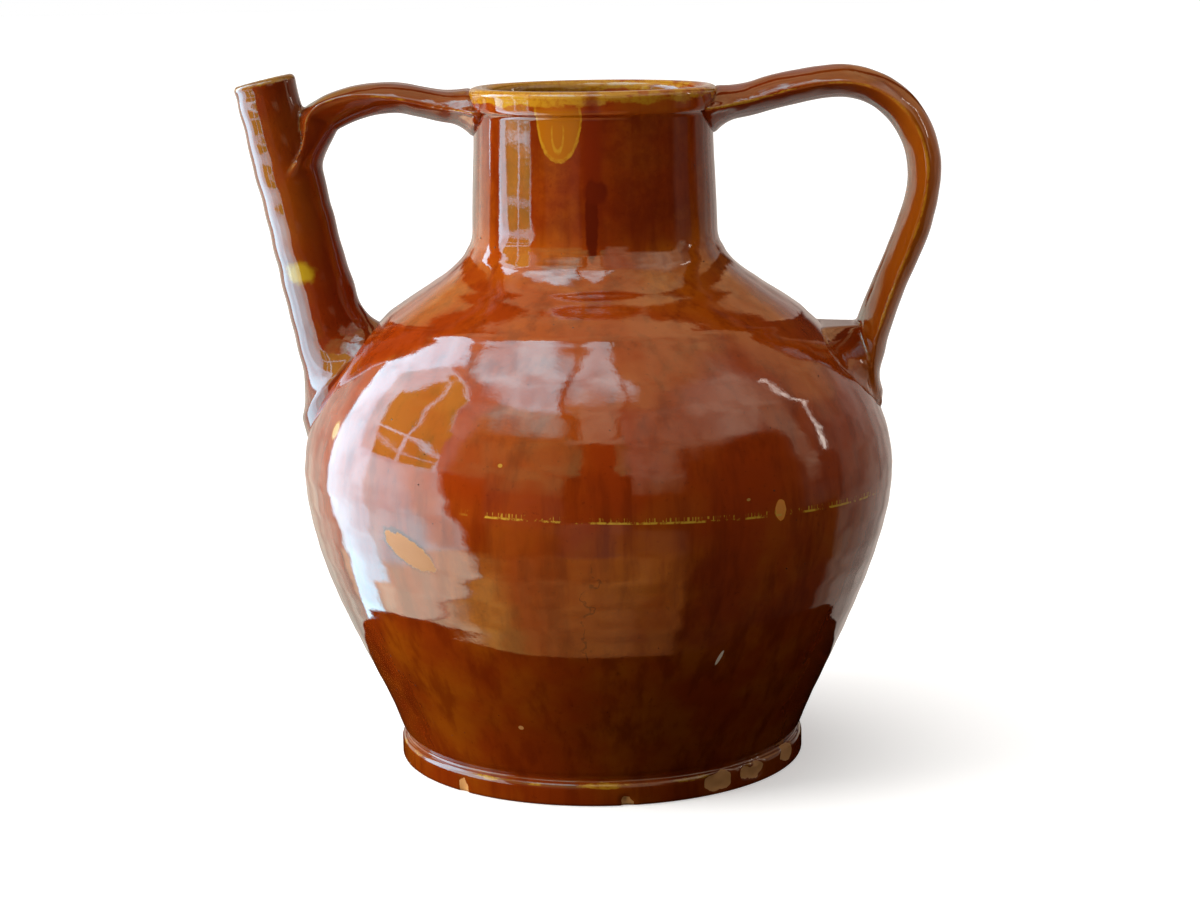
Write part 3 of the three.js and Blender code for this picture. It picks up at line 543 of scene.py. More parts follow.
def hairline_crack(tree, spot, angle, height, smudge, colour):
    """A crack in the glaze that wanders up the lower belly beside the front and has taken in dirt."""
    wander = add(tree, "ShaderNodeMath", [
        add(tree, "ShaderNodeTexNoise", {"Vector": spot, "Scale": 1 / (9 * MM), "Detail": 4.0}),
        CRACK_WANDER, CRACK_ANGLE - CRACK_WANDER / 2], operation="MULTIPLY_ADD")
    leaned = add(tree, "ShaderNodeMath", [height, CRACK_LEAN, wander], operation="MULTIPLY_ADD")
    off_crack = add(tree, "ShaderNodeMath", [
        add(tree, "ShaderNodeMath", [angle, leaned], operation="SUBTRACT")], operation="ABSOLUTE")
    crack = add(tree, "ShaderNodeMapRange", [off_crack, *CRACK_WIDTH], interpolation_type="SMOOTHSTEP")
    crack = add(tree, "ShaderNodeMath", [
        crack, add(tree, "ShaderNodeMapRange", [height, *CRACK_BOTTOM], interpolation_type="SMOOTHSTEP")],
        operation="MULTIPLY")
    crack = add(tree, "ShaderNodeMath", [
        crack,
        add(tree, "ShaderNodeMapRange", [height, *CRACK_TOP, 0.0, 0.75], interpolation_type="SMOOTHSTEP")],
        operation="MULTIPLY")
    return add(tree, "ShaderNodeMix", {
        "Factor": add(tree, "ShaderNodeMath", [
            crack, add(tree, "ShaderNodeMapRange", [smudge, 0.42, 0.5], interpolation_type="SMOOTHSTEP")],
            operation="MULTIPLY"),
        6: colour, 7: DARKEST_GLAZE_AND_SHADE}, data_type="RGBA")


def body_marks(tree, spot, height, colour, rough):
    """All that lies over the body's even glaze, ending with bare clay where the foot is chipped."""
    wavy = add(tree, "ShaderNodeMath", [
        add(tree, "ShaderNodeTexNoise", {"Vector": spot, "Scale": 1 / (2.6 * MM), "Detail": 3.0}), 0.5,
        -0.25], operation="MULTIPLY_ADD")
    smudge = add(tree, "ShaderNodeTexNoise", {
        "Vector": spot, "Scale": 1 / (7 * MM), "Detail": 4.0, "Roughness": 0.7})
    parts = add(tree, "ShaderNodeSeparateXYZ", {"Vector": spot})
    front = add(tree, "ShaderNodeMath", [(parts, "Y"), -1.0], operation="MULTIPLY")
    angle = add(tree, "ShaderNodeMath", [
        add(tree, "ShaderNodeMath", [(parts, "X"), front], operation="ARCTAN2")], operation="DEGREES")
    colour = browner_on_neck(tree, height, smudge, colour)
    colour, rough = placed_marks(tree, spot, wavy, colour, rough)
    colour = runs_below_lip(tree, spot, height, wavy, smudge, colour)
    colour = worn_ring(tree, angle, height, smudge, colour)
    colour = hairline_crack(tree, spot, angle, height, smudge, colour)
    chipped = (add(tree, "ShaderNodeAttribute", attribute_name="chipped"), "Fac")
    broken = add(tree, "ShaderNodeMapRange", [
        add(tree, "ShaderNodeMath", [chipped, wavy], operation="ADD"), 0.40, 0.52],
        interpolation_type="SMOOTHSTEP")
    rough = (add(tree, "ShaderNodeMix", {"Factor": broken, 2: rough, 3: 0.7}), 0)
    return add(tree, "ShaderNodeMix", {
        "Factor": broken, 6: colour, 7: BARE_CLAY}, data_type="RGBA"), rough


# Glaze on the straps and the tube: a splash on the tube's front, the lighter colour painted as light on the
# handle's upright outside, and from where to where along X the handle's outside and the tube begin
SPLASH = to_linear("#a98a14")
SPLASH_PLACE = (-120.5 * MM, -13 * MM, 206.5 * MM)
SPLASH_SIZE = (6.5 * MM, 12 * MM, 5.5 * MM)
UPRIGHT_PAINTED_LIGHT = to_linear("#b8640e")
HANDLE_SIDE = (90 * MM, 120 * MM)
TUBE_SIDE = (-92 * MM, -116 * MM)


def strap_painted_light_and_splash(tree, spot, height, colour, rough):
    """Painted light and shade on the straps: the handle's upright outside is painted lighter, and faces that
    lie level, tops and undersides, are painted darker as shade. The glaze is darker on the tube, and there
    is one yellow-green spot on the front of the tube, where a splash of thinner glaze ran."""
    across = (add(tree, "ShaderNodeSeparateXYZ", {"Vector": spot}), "X")
    facing = add(tree, "ShaderNodeSeparateXYZ", {"Vector": (add(tree, "ShaderNodeNewGeometry"), "Normal")})
    level = add(tree, "ShaderNodeMath", [(facing, "Z")], operation="ABSOLUTE")
    # Painted light: faces that stand upright on the handle's outside are painted lighter.
    upright = add(tree, "ShaderNodeMath", [
        add(tree, "ShaderNodeMapRange", [level, 0.75, 0.30], interpolation_type="SMOOTHSTEP"),
        add(tree, "ShaderNodeMapRange", [across, *HANDLE_SIDE], interpolation_type="SMOOTHSTEP")],
        operation="MULTIPLY")
    colour = add(tree, "ShaderNodeMix", {
        "Factor": add(tree, "ShaderNodeMath", [upright, 0.45], operation="MULTIPLY"), 6: colour,
        7: UPRIGHT_PAINTED_LIGHT}, data_type="RGBA")
    # Painted shade: faces that lie level, the straps' tops and undersides, are painted darker.
    colour = add(tree, "ShaderNodeMix", {
        "Factor": add(tree, "ShaderNodeMapRange", [
            level, 0.35, 0.90, 0.0, 0.45], interpolation_type="SMOOTHSTEP"),
        6: colour, 7: DARKEST_GLAZE_AND_SHADE}, data_type="RGBA")
    colour = add(tree, "ShaderNodeMix", {
        "Factor": add(tree, "ShaderNodeMapRange", [
            across, *TUBE_SIDE, 0.0, 0.35], interpolation_type="SMOOTHSTEP"),
        6: colour, 7: DARKEST_GLAZE_AND_SHADE}, data_type="RGBA")
    local = add(tree, "ShaderNodeMapping", {"Vector": spot, "Location": SPLASH_PLACE, "Scale": SPLASH_SIZE},
                vector_type="TEXTURE")
    off = (add(tree, "ShaderNodeVectorMath", {0: (local, "Vector")}, operation="LENGTH"), "Value")
    frayed = add(tree, "ShaderNodeTexNoise", {"Vector": spot, "Scale": 1 / (5 * MM), "Detail": 4.0})
    off = add(tree, "ShaderNodeMath", [
        frayed, 1.1, add(tree, "ShaderNodeMath", [off, 0.55], operation="SUBTRACT")],
        operation="MULTIPLY_ADD")
    return add(tree, "ShaderNodeMix", {
        "Factor": add(tree, "ShaderNodeMapRange", [
            off, 1.2, 0.5, 0.0, 0.85], interpolation_type="SMOOTHSTEP"),
        6: colour, 7: SPLASH}, data_type="RGBA"), rough


def finish_piece(piece, material, nodes):
    """Puts a piece in the scene with its material under the root, and hides the CAD nodes that it stands
    for.
    """
    bpy.context.scene.collection.objects.link(piece)
    piece.data.materials.append(material)
    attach(piece, "root")
    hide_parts(*nodes)


body_glaze = glaze("lead_glaze_on_body", (1.0, 1.0, 0.14), extra=body_marks)
strap_glaze = glaze("lead_glaze_on_straps", (0.12, 1.0, 0.12), depth=0.30, extra=strap_painted_light_and_splash)
body = thrown_body()
chips = []
for vertex in body.data.vertices:
    turn = math.atan2(vertex.co.y, vertex.co.x)
    low = vertex.co.z < FOOT_HEIGHT and math.hypot(vertex.co.x, vertex.co.y) > FOOT_RADIUS - 6 * MM
    chips.append(chip_depth(turn, vertex.co.z) if low else 0.0)
mark(body.data, "chipped", chips)
finish_piece(body, body_glaze, ["foot_ring", "lower_belly", "shoulder", "neck", "rim_band"])


# Pouring tube: thrown by itself, cut to a saddle and luted over a hole in the shoulder. It leans out by
# 12.9 degrees and narrows a little to a soft lip, and clay is wiped into its joint in a hollow fillet.
SPOUT_LEAN = math.radians(12.9)
SPOUT_MOUTH = np.array([-(BELLY[0] + 11.5 * MM), 0.0, RIM_HEIGHT + 4.2 * MM])
SPOUT_MOUTH_RADIUS = 12.8 * MM
SPOUT_ROOT_RADIUS = 15.4 * MM
SPOUT_BORE = 8 * MM
SPOUT_LENGTH = (SPOUT_MOUTH[2] - SHOULDER[1] + 20.5 * MM) / math.cos(SPOUT_LEAN)
SPOUT_AXIS = np.array([-math.sin(SPOUT_LEAN), 0.0, math.cos(SPOUT_LEAN)])
SPOUT_SIDE = np.array([math.cos(SPOUT_LEAN), 0.0, math.sin(SPOUT_LEAN)])
SPOUT_SUNK = 26 * MM
SPOUT_LIP = 2.1 * MM
SPOUT_SIDES = 96
SPOUT_WIPE_HEIGHT = 17 * MM
SPOUT_WIPE_HOLLOW = 3.2


def body_distance(point):
    """How far a point stands off the body's outside, negative inside it."""
    radius, height = math.hypot(point[0], point[1]), point[2]
    if height >= CREASE[1]:
        return radius - LIP_RADIUS
    step = 0.5 * MM
    flare = (radius_at(height + step) - radius_at(height - step)) / (2 * step)
    return (radius - radius_at(height)) / math.hypot(1, flare)


def wiped(distance, reach, height, hollow=2.2):
    """The hollow of a wiped joint: reach at the wall, nothing at the given height above it."""
    share = min(max(1 - distance / height, 0.0), 1.0)
    return reach * share ** hollow


def spout_radius(from_foot):
    return SPOUT_ROOT_RADIUS + (SPOUT_MOUTH_RADIUS - SPOUT_ROOT_RADIUS) * from_foot / SPOUT_LENGTH


def spout_point(from_foot, inward, sideways):
    """A point from how far up the tube's axis it lies, how far towards the jug and how far sideways."""
    point = SPOUT_MOUTH + SPOUT_AXIS * (from_foot - SPOUT_LENGTH) + SPOUT_SIDE * inward
    point[1] = sideways
    return point


def spout_levels():
    """The tube's section from its sunk foot over its lip and down its bore: how far up the axis, the radius
    and whether it is outside."""
    lip_start = SPOUT_LENGTH - SPOUT_LIP
    inner = SPOUT_MOUTH_RADIUS - SPOUT_LIP
    outside = [(up, spout_radius(up), True) for up in np.linspace(-SPOUT_SUNK, lip_start, 90)]
    rounding = [(lip_start + SPOUT_LIP * math.sin(t), inner + SPOUT_LIP * math.cos(t), False)
                for t in np.linspace(0, math.pi / 2, 9)[1:]]
    taper = inner - SPOUT_BORE
    funnel = [(SPOUT_LENGTH - SPOUT_LIP * (1 - math.cos(t)), inner - taper * math.sin(t), False)
              for t in np.linspace(0, math.pi / 2, 7)[1:]]
    bore = [(up, SPOUT_BORE, False) for up in np.linspace(lip_start - 2 * MM, -SPOUT_SUNK, 20)]
    return outside + rounding + funnel + bore


def spout_tube():
    """The tube with its throwing ripple and the clay wiped round its foot, which reaches furthest on one
    side, and the points round its mouth where the glaze is thin."""
    rings, thin = [], []
    for from_foot, radius, outside in spout_levels():
        ring = []
        fade = 1 - float(ease(SPOUT_LENGTH - 5 * MM, SPOUT_LENGTH - SPOUT_LIP, from_foot))
        at_mouth = float(ease(SPOUT_LENGTH - 3.4 * MM, SPOUT_LENGTH - 1 * MM, from_foot))
        for side in range(SPOUT_SIDES):
            turn = 2 * math.pi * side / SPOUT_SIDES
            out = radius
            if outside:
                place = spout_point(from_foot, radius * math.cos(turn), radius * math.sin(turn))
                grooves = math.sin(from_foot / (2.3 * MM) + turn)
                ripple = 0.30 * lump(place, 16 * MM, 5.0) + 0.14 * grooves - 0.3
                reach = (7.5 + 2.5 * math.cos(turn)) * MM
                out += wiped(body_distance(place), reach, SPOUT_WIPE_HEIGHT, SPOUT_WIPE_HOLLOW)
                out += fade * ripple * MM
            ring.append(spout_point(from_foot, out * math.cos(turn), out * math.sin(turn)))
        if at_mouth > 0.5:
            thin += [(Vector(point), 0.6 * at_mouth) for point in ring]
        rings.append(ring)
    return surface_mesh("spout_tube", rings, closed=True), thin


# Pulled straps: the handle and the short brace between rim and tube are ropes of clay pulled out by a wet
# hand, so they are lens-shaped in section with an arris down each side where the glaze ran off thin.
STRAP_SIDES = 72
BULGE_OUTSIDE, BULGE_INSIDE = 2.3, 1.8
FLUTE_DEPTH = 0.45 * MM
FLUTE_PLACE, FLUTE_WIDTH = 0.12, 0.16
THIN_GLAZE_WIDTH = 1.1 * MM
THIN_ENDS = 26 * MM


def fuse(name, sources, voxel, rounds, thin_points):
    """One skin of clay from overlapping closed meshes with soft joints, and thin glaze near the points."""
    joined = bpy.data.meshes.new(name + "_parts")
    points, faces = [], []
    for mesh in sources:
        start = len(points)
        points += [tuple(v.co) for v in mesh.vertices]
        faces += [tuple(start + index for index in polygon.vertices) for polygon in mesh.polygons]
    joined.from_pydata(points, [], faces)
    rough_form = bpy.data.objects.new(name + "_parts", joined)
    bpy.context.scene.collection.objects.link(rough_form)
    remesh = rough_form.modifiers.new("one_skin", "REMESH")
    remesh.mode, remesh.voxel_size, remesh.use_smooth_shade = "VOXEL", voxel, True
    soft = rough_form.modifiers.new("soft_joints", "SMOOTH")
    soft.factor, soft.iterations = 0.5, rounds
    bpy.context.view_layer.update()
    seen = rough_form.evaluated_get(bpy.context.evaluated_depsgraph_get())
    mesh = bpy.data.meshes.new_from_object(seen)
    mesh.name = name
    bpy.data.objects.remove(rough_form)
    tree = KDTree(len(thin_points))
    for index, (point, _) in enumerate(thin_points):
        tree.insert(point, index)
    tree.balance()
    shares = []
    for vertex in mesh.vertices:
        _, index, distance = tree.find(vertex.co)
        shares.append(thin_points[index][1] * math.exp(-(distance / THIN_GLAZE_WIDTH) ** 2))
    mark(mesh, "thin_glaze", shares)
    return bpy.data.objects.new(name, mesh)


def along_path(path, steps):
    """Evenly spaced points of a path with their runs, and the path's direction at each."""
    runs = np.concatenate([[0], np.cumsum(np.linalg.norm(np.diff(path, axis=0), axis=1))])
    even = np.linspace(0, runs[-1], steps + 1)
    points = np.column_stack([np.interp(even, runs, path[:, 0]), np.interp(even, runs, path[:, 1])])
    ways = np.gradient(points, axis=0)
    return even, points, ways / np.linalg.norm(ways, axis=1)[:, None]


def strap(name, path, shape, out_sign, swell_at, steps, seed, thinness, bend=None):
    """A strap lofted along the line of its arrises in the XZ plane, and its two arrises as points with a
    share of thin glaze. shape gives its half width and its thickness outside and inside that line from the
    distances to its two ends, swell_at the clay wiped on at a point, and bend moves a point by its distance
    from the far end. A shallow flute runs along its outside, where a finger drew it."""
    runs, points, ways = along_path(path, steps)
    rings, thin = [], []
    for run, (x, z), (way_x, way_z) in zip(runs, points, ways):
        left = runs[-1] - run
        half_width, outer, inner = shape(run, left)
        out = np.array([-way_z, 0.0, way_x]) * out_sign
        ring = []
        for side in range(STRAP_SIDES):
            turn = 2 * math.pi * side / STRAP_SIDES
            across, facing = math.cos(turn), math.sin(turn)
            bulge = max(1 - abs(across) ** (BULGE_OUTSIDE if facing > 0 else BULGE_INSIDE), 0.0) ** 0.9
            flute = FLUTE_DEPTH * math.exp(-((across - FLUTE_PLACE) / FLUTE_WIDTH) ** 2) * (facing > 0)
            base = np.array([x, across * half_width * out_sign, z])
            skin = base + out * ((outer if facing > 0 else -inner) * bulge - flute)
            uneven = 0.28 * lump(skin, 19 * MM, seed) + 0.10 * lump(skin, 7 * MM, seed) - 0.25
            grow = swell_at(skin, facing) + uneven * MM * min(outer / (5 * MM), 1)
            skin = skin + out * grow * facing + np.array([0.0, grow * across * out_sign, 0.0])
            ring.append(bend(skin, left) if bend else skin)
        fade = thinness * float(ease(THIN_ENDS, THIN_ENDS + 14 * MM, left))
        thin += [(Vector(ring[0]), fade), (Vector(ring[STRAP_SIDES // 2]), fade)]
        rings.append(ring)
    return surface_mesh(name, rings, closed=False, capped=True), thin


# Handle: one strap out of the rim, over a crest and down to the shoulder, wider at both ends. Its tip is
# drawn out thin on the shoulder, and clay is wiped under it at the rim and to both sides at its foot.
HANDLE_THICK = 14.4 * MM
HANDLE_TIP_THICK = 3 * MM
HANDLE_REACH = BELLY[0] + 20.1 * MM
HANDLE_FOOT_TOP = SHOULDER[1] - 8.2 * MM
HANDLE_FOOT_BOTTOM = SHOULDER[1] - 38.5 * MM
HANDLE_FOOT_FLARE = 63 * MM
HANDLE_TIP_LENGTH = 25 * MM
RIM_WIPE = (4.5 * MM, 10 * MM)
RIM_TOP_REACH = 16 * MM
RIM_ROOT = 7.2 * MM
QUARTER_ROUND = 0.5523


def under_rim(from_rim):
    """The outer thickness near a strap's root is less, so that the root stays inside the rim's rounding."""
    return 0.7 + 0.3 * float(ease(0, 8 * MM, from_rim))


def handle_path():
    """Out of the rim, over a crest above it, round the widest reach and down onto the shoulder."""
    half = HANDLE_THICK / 2
    start = np.array([LIP_RADIUS - RIM_ROOT, RIM_HEIGHT - 8.6 * MM])
    crest = np.array([HANDLE_REACH - 42 * MM, RIM_HEIGHT + 7.6 * MM - half])
    widest = np.array([HANDLE_REACH - half, RIM_HEIGHT - 36.5 * MM])
    foot = np.array([radius_at(HANDLE_FOOT_TOP) + 17 * MM, HANDLE_FOOT_TOP])
    tip = np.array([radius_at(HANDLE_FOOT_BOTTOM) - HANDLE_TIP_THICK / 2 - 3 * MM, HANDLE_FOOT_BOTTOM])
    level = 0.4 * (crest[0] - start[0])
    drop, settle = 0.33 * (widest[1] - foot[1]), 0.33 * (foot[1] - tip[1])
    lean = np.array([-0.3, -1.0]) / math.hypot(0.3, 1)
    round_over = QUARTER_ROUND * (widest - crest)
    return np.vstack([
        bezier(start, (level, 0), (level, 0), crest, 60),
        bezier(crest, (round_over[0], 0), (0, round_over[1]), widest, 60)[1:],
        bezier(widest, (0, -drop), lean * drop, foot, 60)[1:],
        bezier(foot, lean * settle, (0, -settle), tip, 40)[1:],
    ])


def handle_shape(from_rim, from_tip):
    """Half width and both half thicknesses of the handle; its tip is drawn out thin and lies flush."""
    flare = 7 * MM * (1 - ease(0, 34 * MM, from_rim))
    foot = 17 * MM * (1 - ease(HANDLE_TIP_LENGTH, HANDLE_FOOT_FLARE, from_tip))
    tip = 1 - ease(0, HANDLE_TIP_LENGTH, from_tip)
    thick = HANDLE_THICK + (HANDLE_TIP_THICK - HANDLE_THICK) * tip
    width = (29 * MM + flare + foot) * (1 - 0.45 * tip)
    return float(width / 2), float(thick / 2) * under_rim(from_rim), float(thick / 2)


def rim_top(distance, reach, facing):
    """The clay smoothed from a strap's upper face into the lip."""
    shown = ease(0.1, 0.7, facing) * ease(-5 * MM, -1 * MM, distance)
    return wiped(distance, reach, RIM_TOP_REACH) * float(shown)


def handle_swell(point, facing):
    distance = body_distance(point)
    if point[2] > NECK_ROOT[1]:
        under = wiped(distance, *RIM_WIPE) * float(ease(0.5, 0.0, facing))
        return under + rim_top(distance, 1.1 * MM, facing)
    return wiped(distance, 3.8 * MM, 9 * MM)


SKIRT_ROWS, SKIRT_COLUMNS = 60, 72
SKIRT_REACH = 38 * MM
SKIRT_RIDGE = 6 * MM
SKIRT_SUNK = 2.5 * MM
THUMB_STROKE = 0.22 * MM


def handle_skirt():
    """The clay that thumbs drew out of the handle's foot over the shoulder: level rows inside a leaf-shaped
    line, each climbing in a hollow to the strap's arrises, scored by the strokes of the thumbs."""
    top, bottom = HANDLE_FOOT_TOP + 4.5 * MM, HANDLE_FOOT_BOTTOM - 3 * MM
    runs, points, _ = along_path(handle_path(), 400)
    lower = points[:, 1] < RIM_HEIGHT - 60 * MM
    rings = []
    for row in range(SKIRT_ROWS + 1):
        down = 0.03 + 0.95 * row / SKIRT_ROWS
        height = top + (bottom - top) * down
        leaf = SKIRT_REACH * math.sin(math.pi * down ** 0.7) ** 0.7
        radius = float(radius_at(height))
        run = float(np.interp(-height, -points[lower][:, 1], runs[lower]))
        strap_x = float(np.interp(-height, -points[lower][:, 1], points[lower][:, 0]))
        half_width = handle_shape(run, runs[-1] - run)[0] * 0.96
        half_width = SKIRT_RIDGE + (half_width - SKIRT_RIDGE) * float(ease(0.0, 0.5, down))
        rise = max(strap_x - radius, 0.9 * MM)
        flush = float(ease(0.98, 0.82, down))
        ring = []
        for column in range(SKIRT_COLUMNS + 1):
            across = (2 * column / SKIRT_COLUMNS - 1) * leaf
            share = min(max((abs(across) - half_width) / max(leaf - half_width, 1 * MM), 0.0), 1.0)
            waver = lump((across, 0, height), 12 * MM, 2)
            stroke = math.sin((abs(across) * 0.8 + height * 1.1) / (1.9 * MM) + waver)
            hollow = (rise * (1 - share) ** 2.3 + (0.9 - 0.9 * share) * MM) * flush - 0.5 * MM * (1 - flush)
            above = hollow + THUMB_STROKE * stroke * math.sin(math.pi * share) - 0.35 * MM * share
            turn = across / radius
            ring.append(((radius + above) * math.cos(turn), (radius + above) * math.sin(turn), height))
        for column in range(SKIRT_COLUMNS, -1, -1):
            turn = (2 * column / SKIRT_COLUMNS - 1) * leaf / radius
            sunk = radius - SKIRT_SUNK
            ring.append((sunk * math.cos(turn), sunk * math.sin(turn), height))
        rings.append(ring)
    return surface_mesh("handle_skirt", rings[::-1], closed=False, capped=True)


pulled, arrises = strap("handle_strap", handle_path(), handle_shape, 1, handle_swell, 210, 1.7, 0.78)
handle = fuse("handle", [pulled, handle_skirt()], 0.8 * MM, 7, arrises)
finish_piece(handle, strap_glaze, ["handle", "handle_rim_lute", "handle_foot_lute"])


# Brace: the short strap between rim and tube. It rises to a low crest, turns down onto the tube's side
# and is spread there, thin and bent round the tube, so that its tail feathers out on it.
BRACE_THICK = 13.4 * MM
BRACE_TAIL_THICK = 2.4 * MM
BRACE_SPREAD_LENGTH = 42 * MM
BRACE_WRAP = (14 * MM, 42 * MM)
BRACE_BEND = (46 * MM, 82 * MM)
BRACE_BEND_INSIDE = 12.6 * MM
BRACE_CORNER_HEIGHT = 262 * MM


def brace_path():
    """The line of its arrises: from the rim over a low crest to the tube and down along its side."""
    def spout_face(height):
        from_foot = SPOUT_LENGTH - (SPOUT_MOUTH[2] - height) / math.cos(SPOUT_LEAN)
        return spout_point(from_foot, 0, 0)[0] + spout_radius(from_foot) / math.cos(SPOUT_LEAN)

    meet_height, tail_height = RIM_HEIGHT - 14 * MM, RIM_HEIGHT - 48 * MM
    start = np.array([RIM_ROOT - LIP_RADIUS, RIM_HEIGHT - 9.2 * MM])
    meet = np.array([spout_face(meet_height) + 1 * MM, meet_height])
    crest = np.array([meet[0] + 20.8 * MM, RIM_HEIGHT - 2.2 * MM])
    tail = np.array([spout_face(tail_height) - 1.4 * MM, tail_height])
    level, drop = 0.4 * (start[0] - crest[0]), 7 * MM
    return np.vstack([
        bezier(start, (-level, 0), (-level, 0), crest, 60),
        bezier(crest, (-12 * MM, 0), (-drop * SPOUT_AXIS[0], -drop * SPOUT_AXIS[2]), meet, 50)[1:],
        np.linspace(meet, tail, 50)[1:],
    ])


def brace_shape(from_rim, from_tail):
    """Half width and thickness outside and inside; in the bend nearly all of the clay lies inside."""
    flare = 7 * MM * (1 - ease(0, 28 * MM, from_rim))
    spread = 1 - ease(0, BRACE_SPREAD_LENGTH, from_tail)
    width = 25 * MM + 23 * MM * spread + flare
    half, thin = BRACE_THICK / 2, BRACE_TAIL_THICK / 2
    bend_outside = thin + 1.4 * MM
    past_bend = ease(*BRACE_BEND, from_tail)
    outer = (bend_outside + (half - bend_outside) * past_bend) * under_rim(from_rim)
    inner = thin + (BRACE_BEND_INSIDE - thin) * ease(15 * MM, 36 * MM, from_tail)
    inner -= (BRACE_BEND_INSIDE - half) * past_bend
    return float(width / 2), float(outer), float(inner)


def round_spout(point, from_tail):
    """Wraps the brace's spread end round the tube, fully at its tail and fading out up the strap."""
    off = point - SPOUT_MOUTH
    from_foot, inward = SPOUT_LENGTH + float(off @ SPOUT_AXIS), float(off @ SPOUT_SIDE)
    turn = point[1] / max(inward, spout_radius(from_foot))
    hugging = spout_point(from_foot, inward * math.cos(turn), inward * math.sin(turn))
    return point + (hugging - point) * float(1 - ease(*BRACE_WRAP, from_tail))


def brace_swell(point, facing):
    """Clay wiped under the brace at the rim, into the lip above it, and into its corner with the tube."""
    off = point - SPOUT_MOUTH
    along = float(off @ SPOUT_AXIS)
    from_tube = float(np.linalg.norm(off - along * SPOUT_AXIS)) - spout_radius(SPOUT_LENGTH + along)
    grow = wiped(body_distance(point), *RIM_WIPE) * float(ease(0.5, 0.0, facing))
    grow += rim_top(body_distance(point), 2.2 * MM, facing)
    if point[2] > BRACE_CORNER_HEIGHT:
        grow += wiped(max(from_tube, 0.0), 2.2 * MM, 7 * MM) * float(ease(-0.2, 0.6, facing))
    return grow


tube, mouth = spout_tube()
pulled, arrises = strap("brace_strap", brace_path(), brace_shape, -1, brace_swell, 150, 4.3, 0.5,
                        round_spout)
spout = fuse("braced_spout", [tube, pulled], 0.7 * MM, 6, mouth + arrises)
finish_piece(spout, strap_glaze,
             ["spout", "spout_collar", "spout_brace", "brace_rim_lute", "brace_spout_lute"])


# Specks: grains of iron and grit that came up through the glaze in the firing and stand a little proud of
# it. They are scattered over the outside with a fixed seed, small, of random width and flat, lying along the
# skin.
SPECK_SEED = 11
SPECKS_PER_SQUARE_METRE = 2600
SPECK_SMALLEST, SPECK_LARGEST = 0.10 * MM, 0.34 * MM
SPECK_FLATNESS = 0.3
SPECKED_HEIGHTS = (14 * MM, 262 * MM)
SPECK_SKIN_DEPTH = 0.62 * MM
SPECK_SKIN_SIDES = 96


def speck_tree(material):
    """Nodes that put a small flattened grain at each random point of a skin, and their amount's name."""
    tree = bpy.data.node_groups.new("scattered_specks", "GeometryNodeTree")
    tree.interface.new_socket("Geometry", in_out="INPUT", socket_type="NodeSocketGeometry")
    amount = tree.interface.new_socket("Amount", in_out="INPUT", socket_type="NodeSocketFloat")
    tree.interface.new_socket("Geometry", in_out="OUTPUT", socket_type="NodeSocketGeometry")
    given = add(tree, "NodeGroupInput")
    spread = add(tree, "GeometryNodeDistributePointsOnFaces", {
        "Mesh": (given, "Geometry"), "Density": (given, "Amount"), "Seed": SPECK_SEED})
    grit = add(tree, "GeometryNodeMeshIcoSphere", {"Radius": 1.0, "Subdivisions": 2})
    width = add(tree, "FunctionNodeRandomValue", {2: SPECK_SMALLEST, 3: SPECK_LARGEST, "Seed": SPECK_SEED})
    scale = add(tree, "ShaderNodeCombineXYZ", {"X": (width, 1), "Y": (width, 1)})
    thickness = add(tree, "ShaderNodeMath", {0: (width, 1), 1: SPECK_FLATNESS}, operation="MULTIPLY")
    tree.links.new(thickness.outputs[0], scale.inputs["Z"])
    placed = add(tree, "GeometryNodeInstanceOnPoints", {
        "Points": (spread, "Points"), "Instance": (grit, "Mesh"), "Rotation": (spread, "Rotation"),
        "Scale": (scale, "Vector")})
    real = add(tree, "GeometryNodeRealizeInstances", {"Geometry": (placed, "Instances")})
    finished = add(tree, "GeometryNodeSetMaterial", {"Geometry": (real, "Geometry"), "Material": material})
    add(tree, "NodeGroupOutput", {"Geometry": (finished, "Geometry")})
    return tree, amount.identifier


def iron_speck():
    """Dark iron grain with a dull skin, which breaks the glaze's even shine with small dark points."""
    material = bpy.data.materials.new("iron_speck")
    material.use_nodes = True
    shader = material.node_tree.nodes["Principled BSDF"]
    shader.inputs["Base Color"].default_value = to_linear("#2a1208")
    shader.inputs["Roughness"].default_value = 0.25
    return material


def scattered_specks():
    """Only the outside of the body carries specks, so they are scattered over a copy of that skin."""
    lowest, highest = SPECKED_HEIGHTS
    profile = OUTLINE[(OUTLINE[:, 1] > lowest) & (OUTLINE[:, 1] < highest)][::3]
    turns = np.linspace(0, 2 * math.pi, SPECK_SKIN_SIDES, endpoint=False)
    rings = [[((radius - SPECK_SKIN_DEPTH) * math.cos(turn), (radius - SPECK_SKIN_DEPTH) * math.sin(turn),
               height) for turn in turns] for radius, height in profile]
    skin = bpy.data.objects.new("speck_skin", surface_mesh("speck_skin", rings, closed=False))
    bpy.context.scene.collection.objects.link(skin)
    modifier = skin.modifiers.new("specks", "NODES")
    modifier.node_group, amount = speck_tree(iron_speck())
    modifier[amount] = SPECKS_PER_SQUARE_METRE
    bpy.context.view_layer.update()
    seen = skin.evaluated_get(bpy.context.evaluated_depsgraph_get())
    mesh = bpy.data.meshes.new_from_object(seen)
    bpy.data.objects.remove(skin)
    return bpy.data.objects.new("iron_specks", mesh)


specks = scattered_specks()
bpy.context.scene.collection.objects.link(specks)
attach(specks, "root")


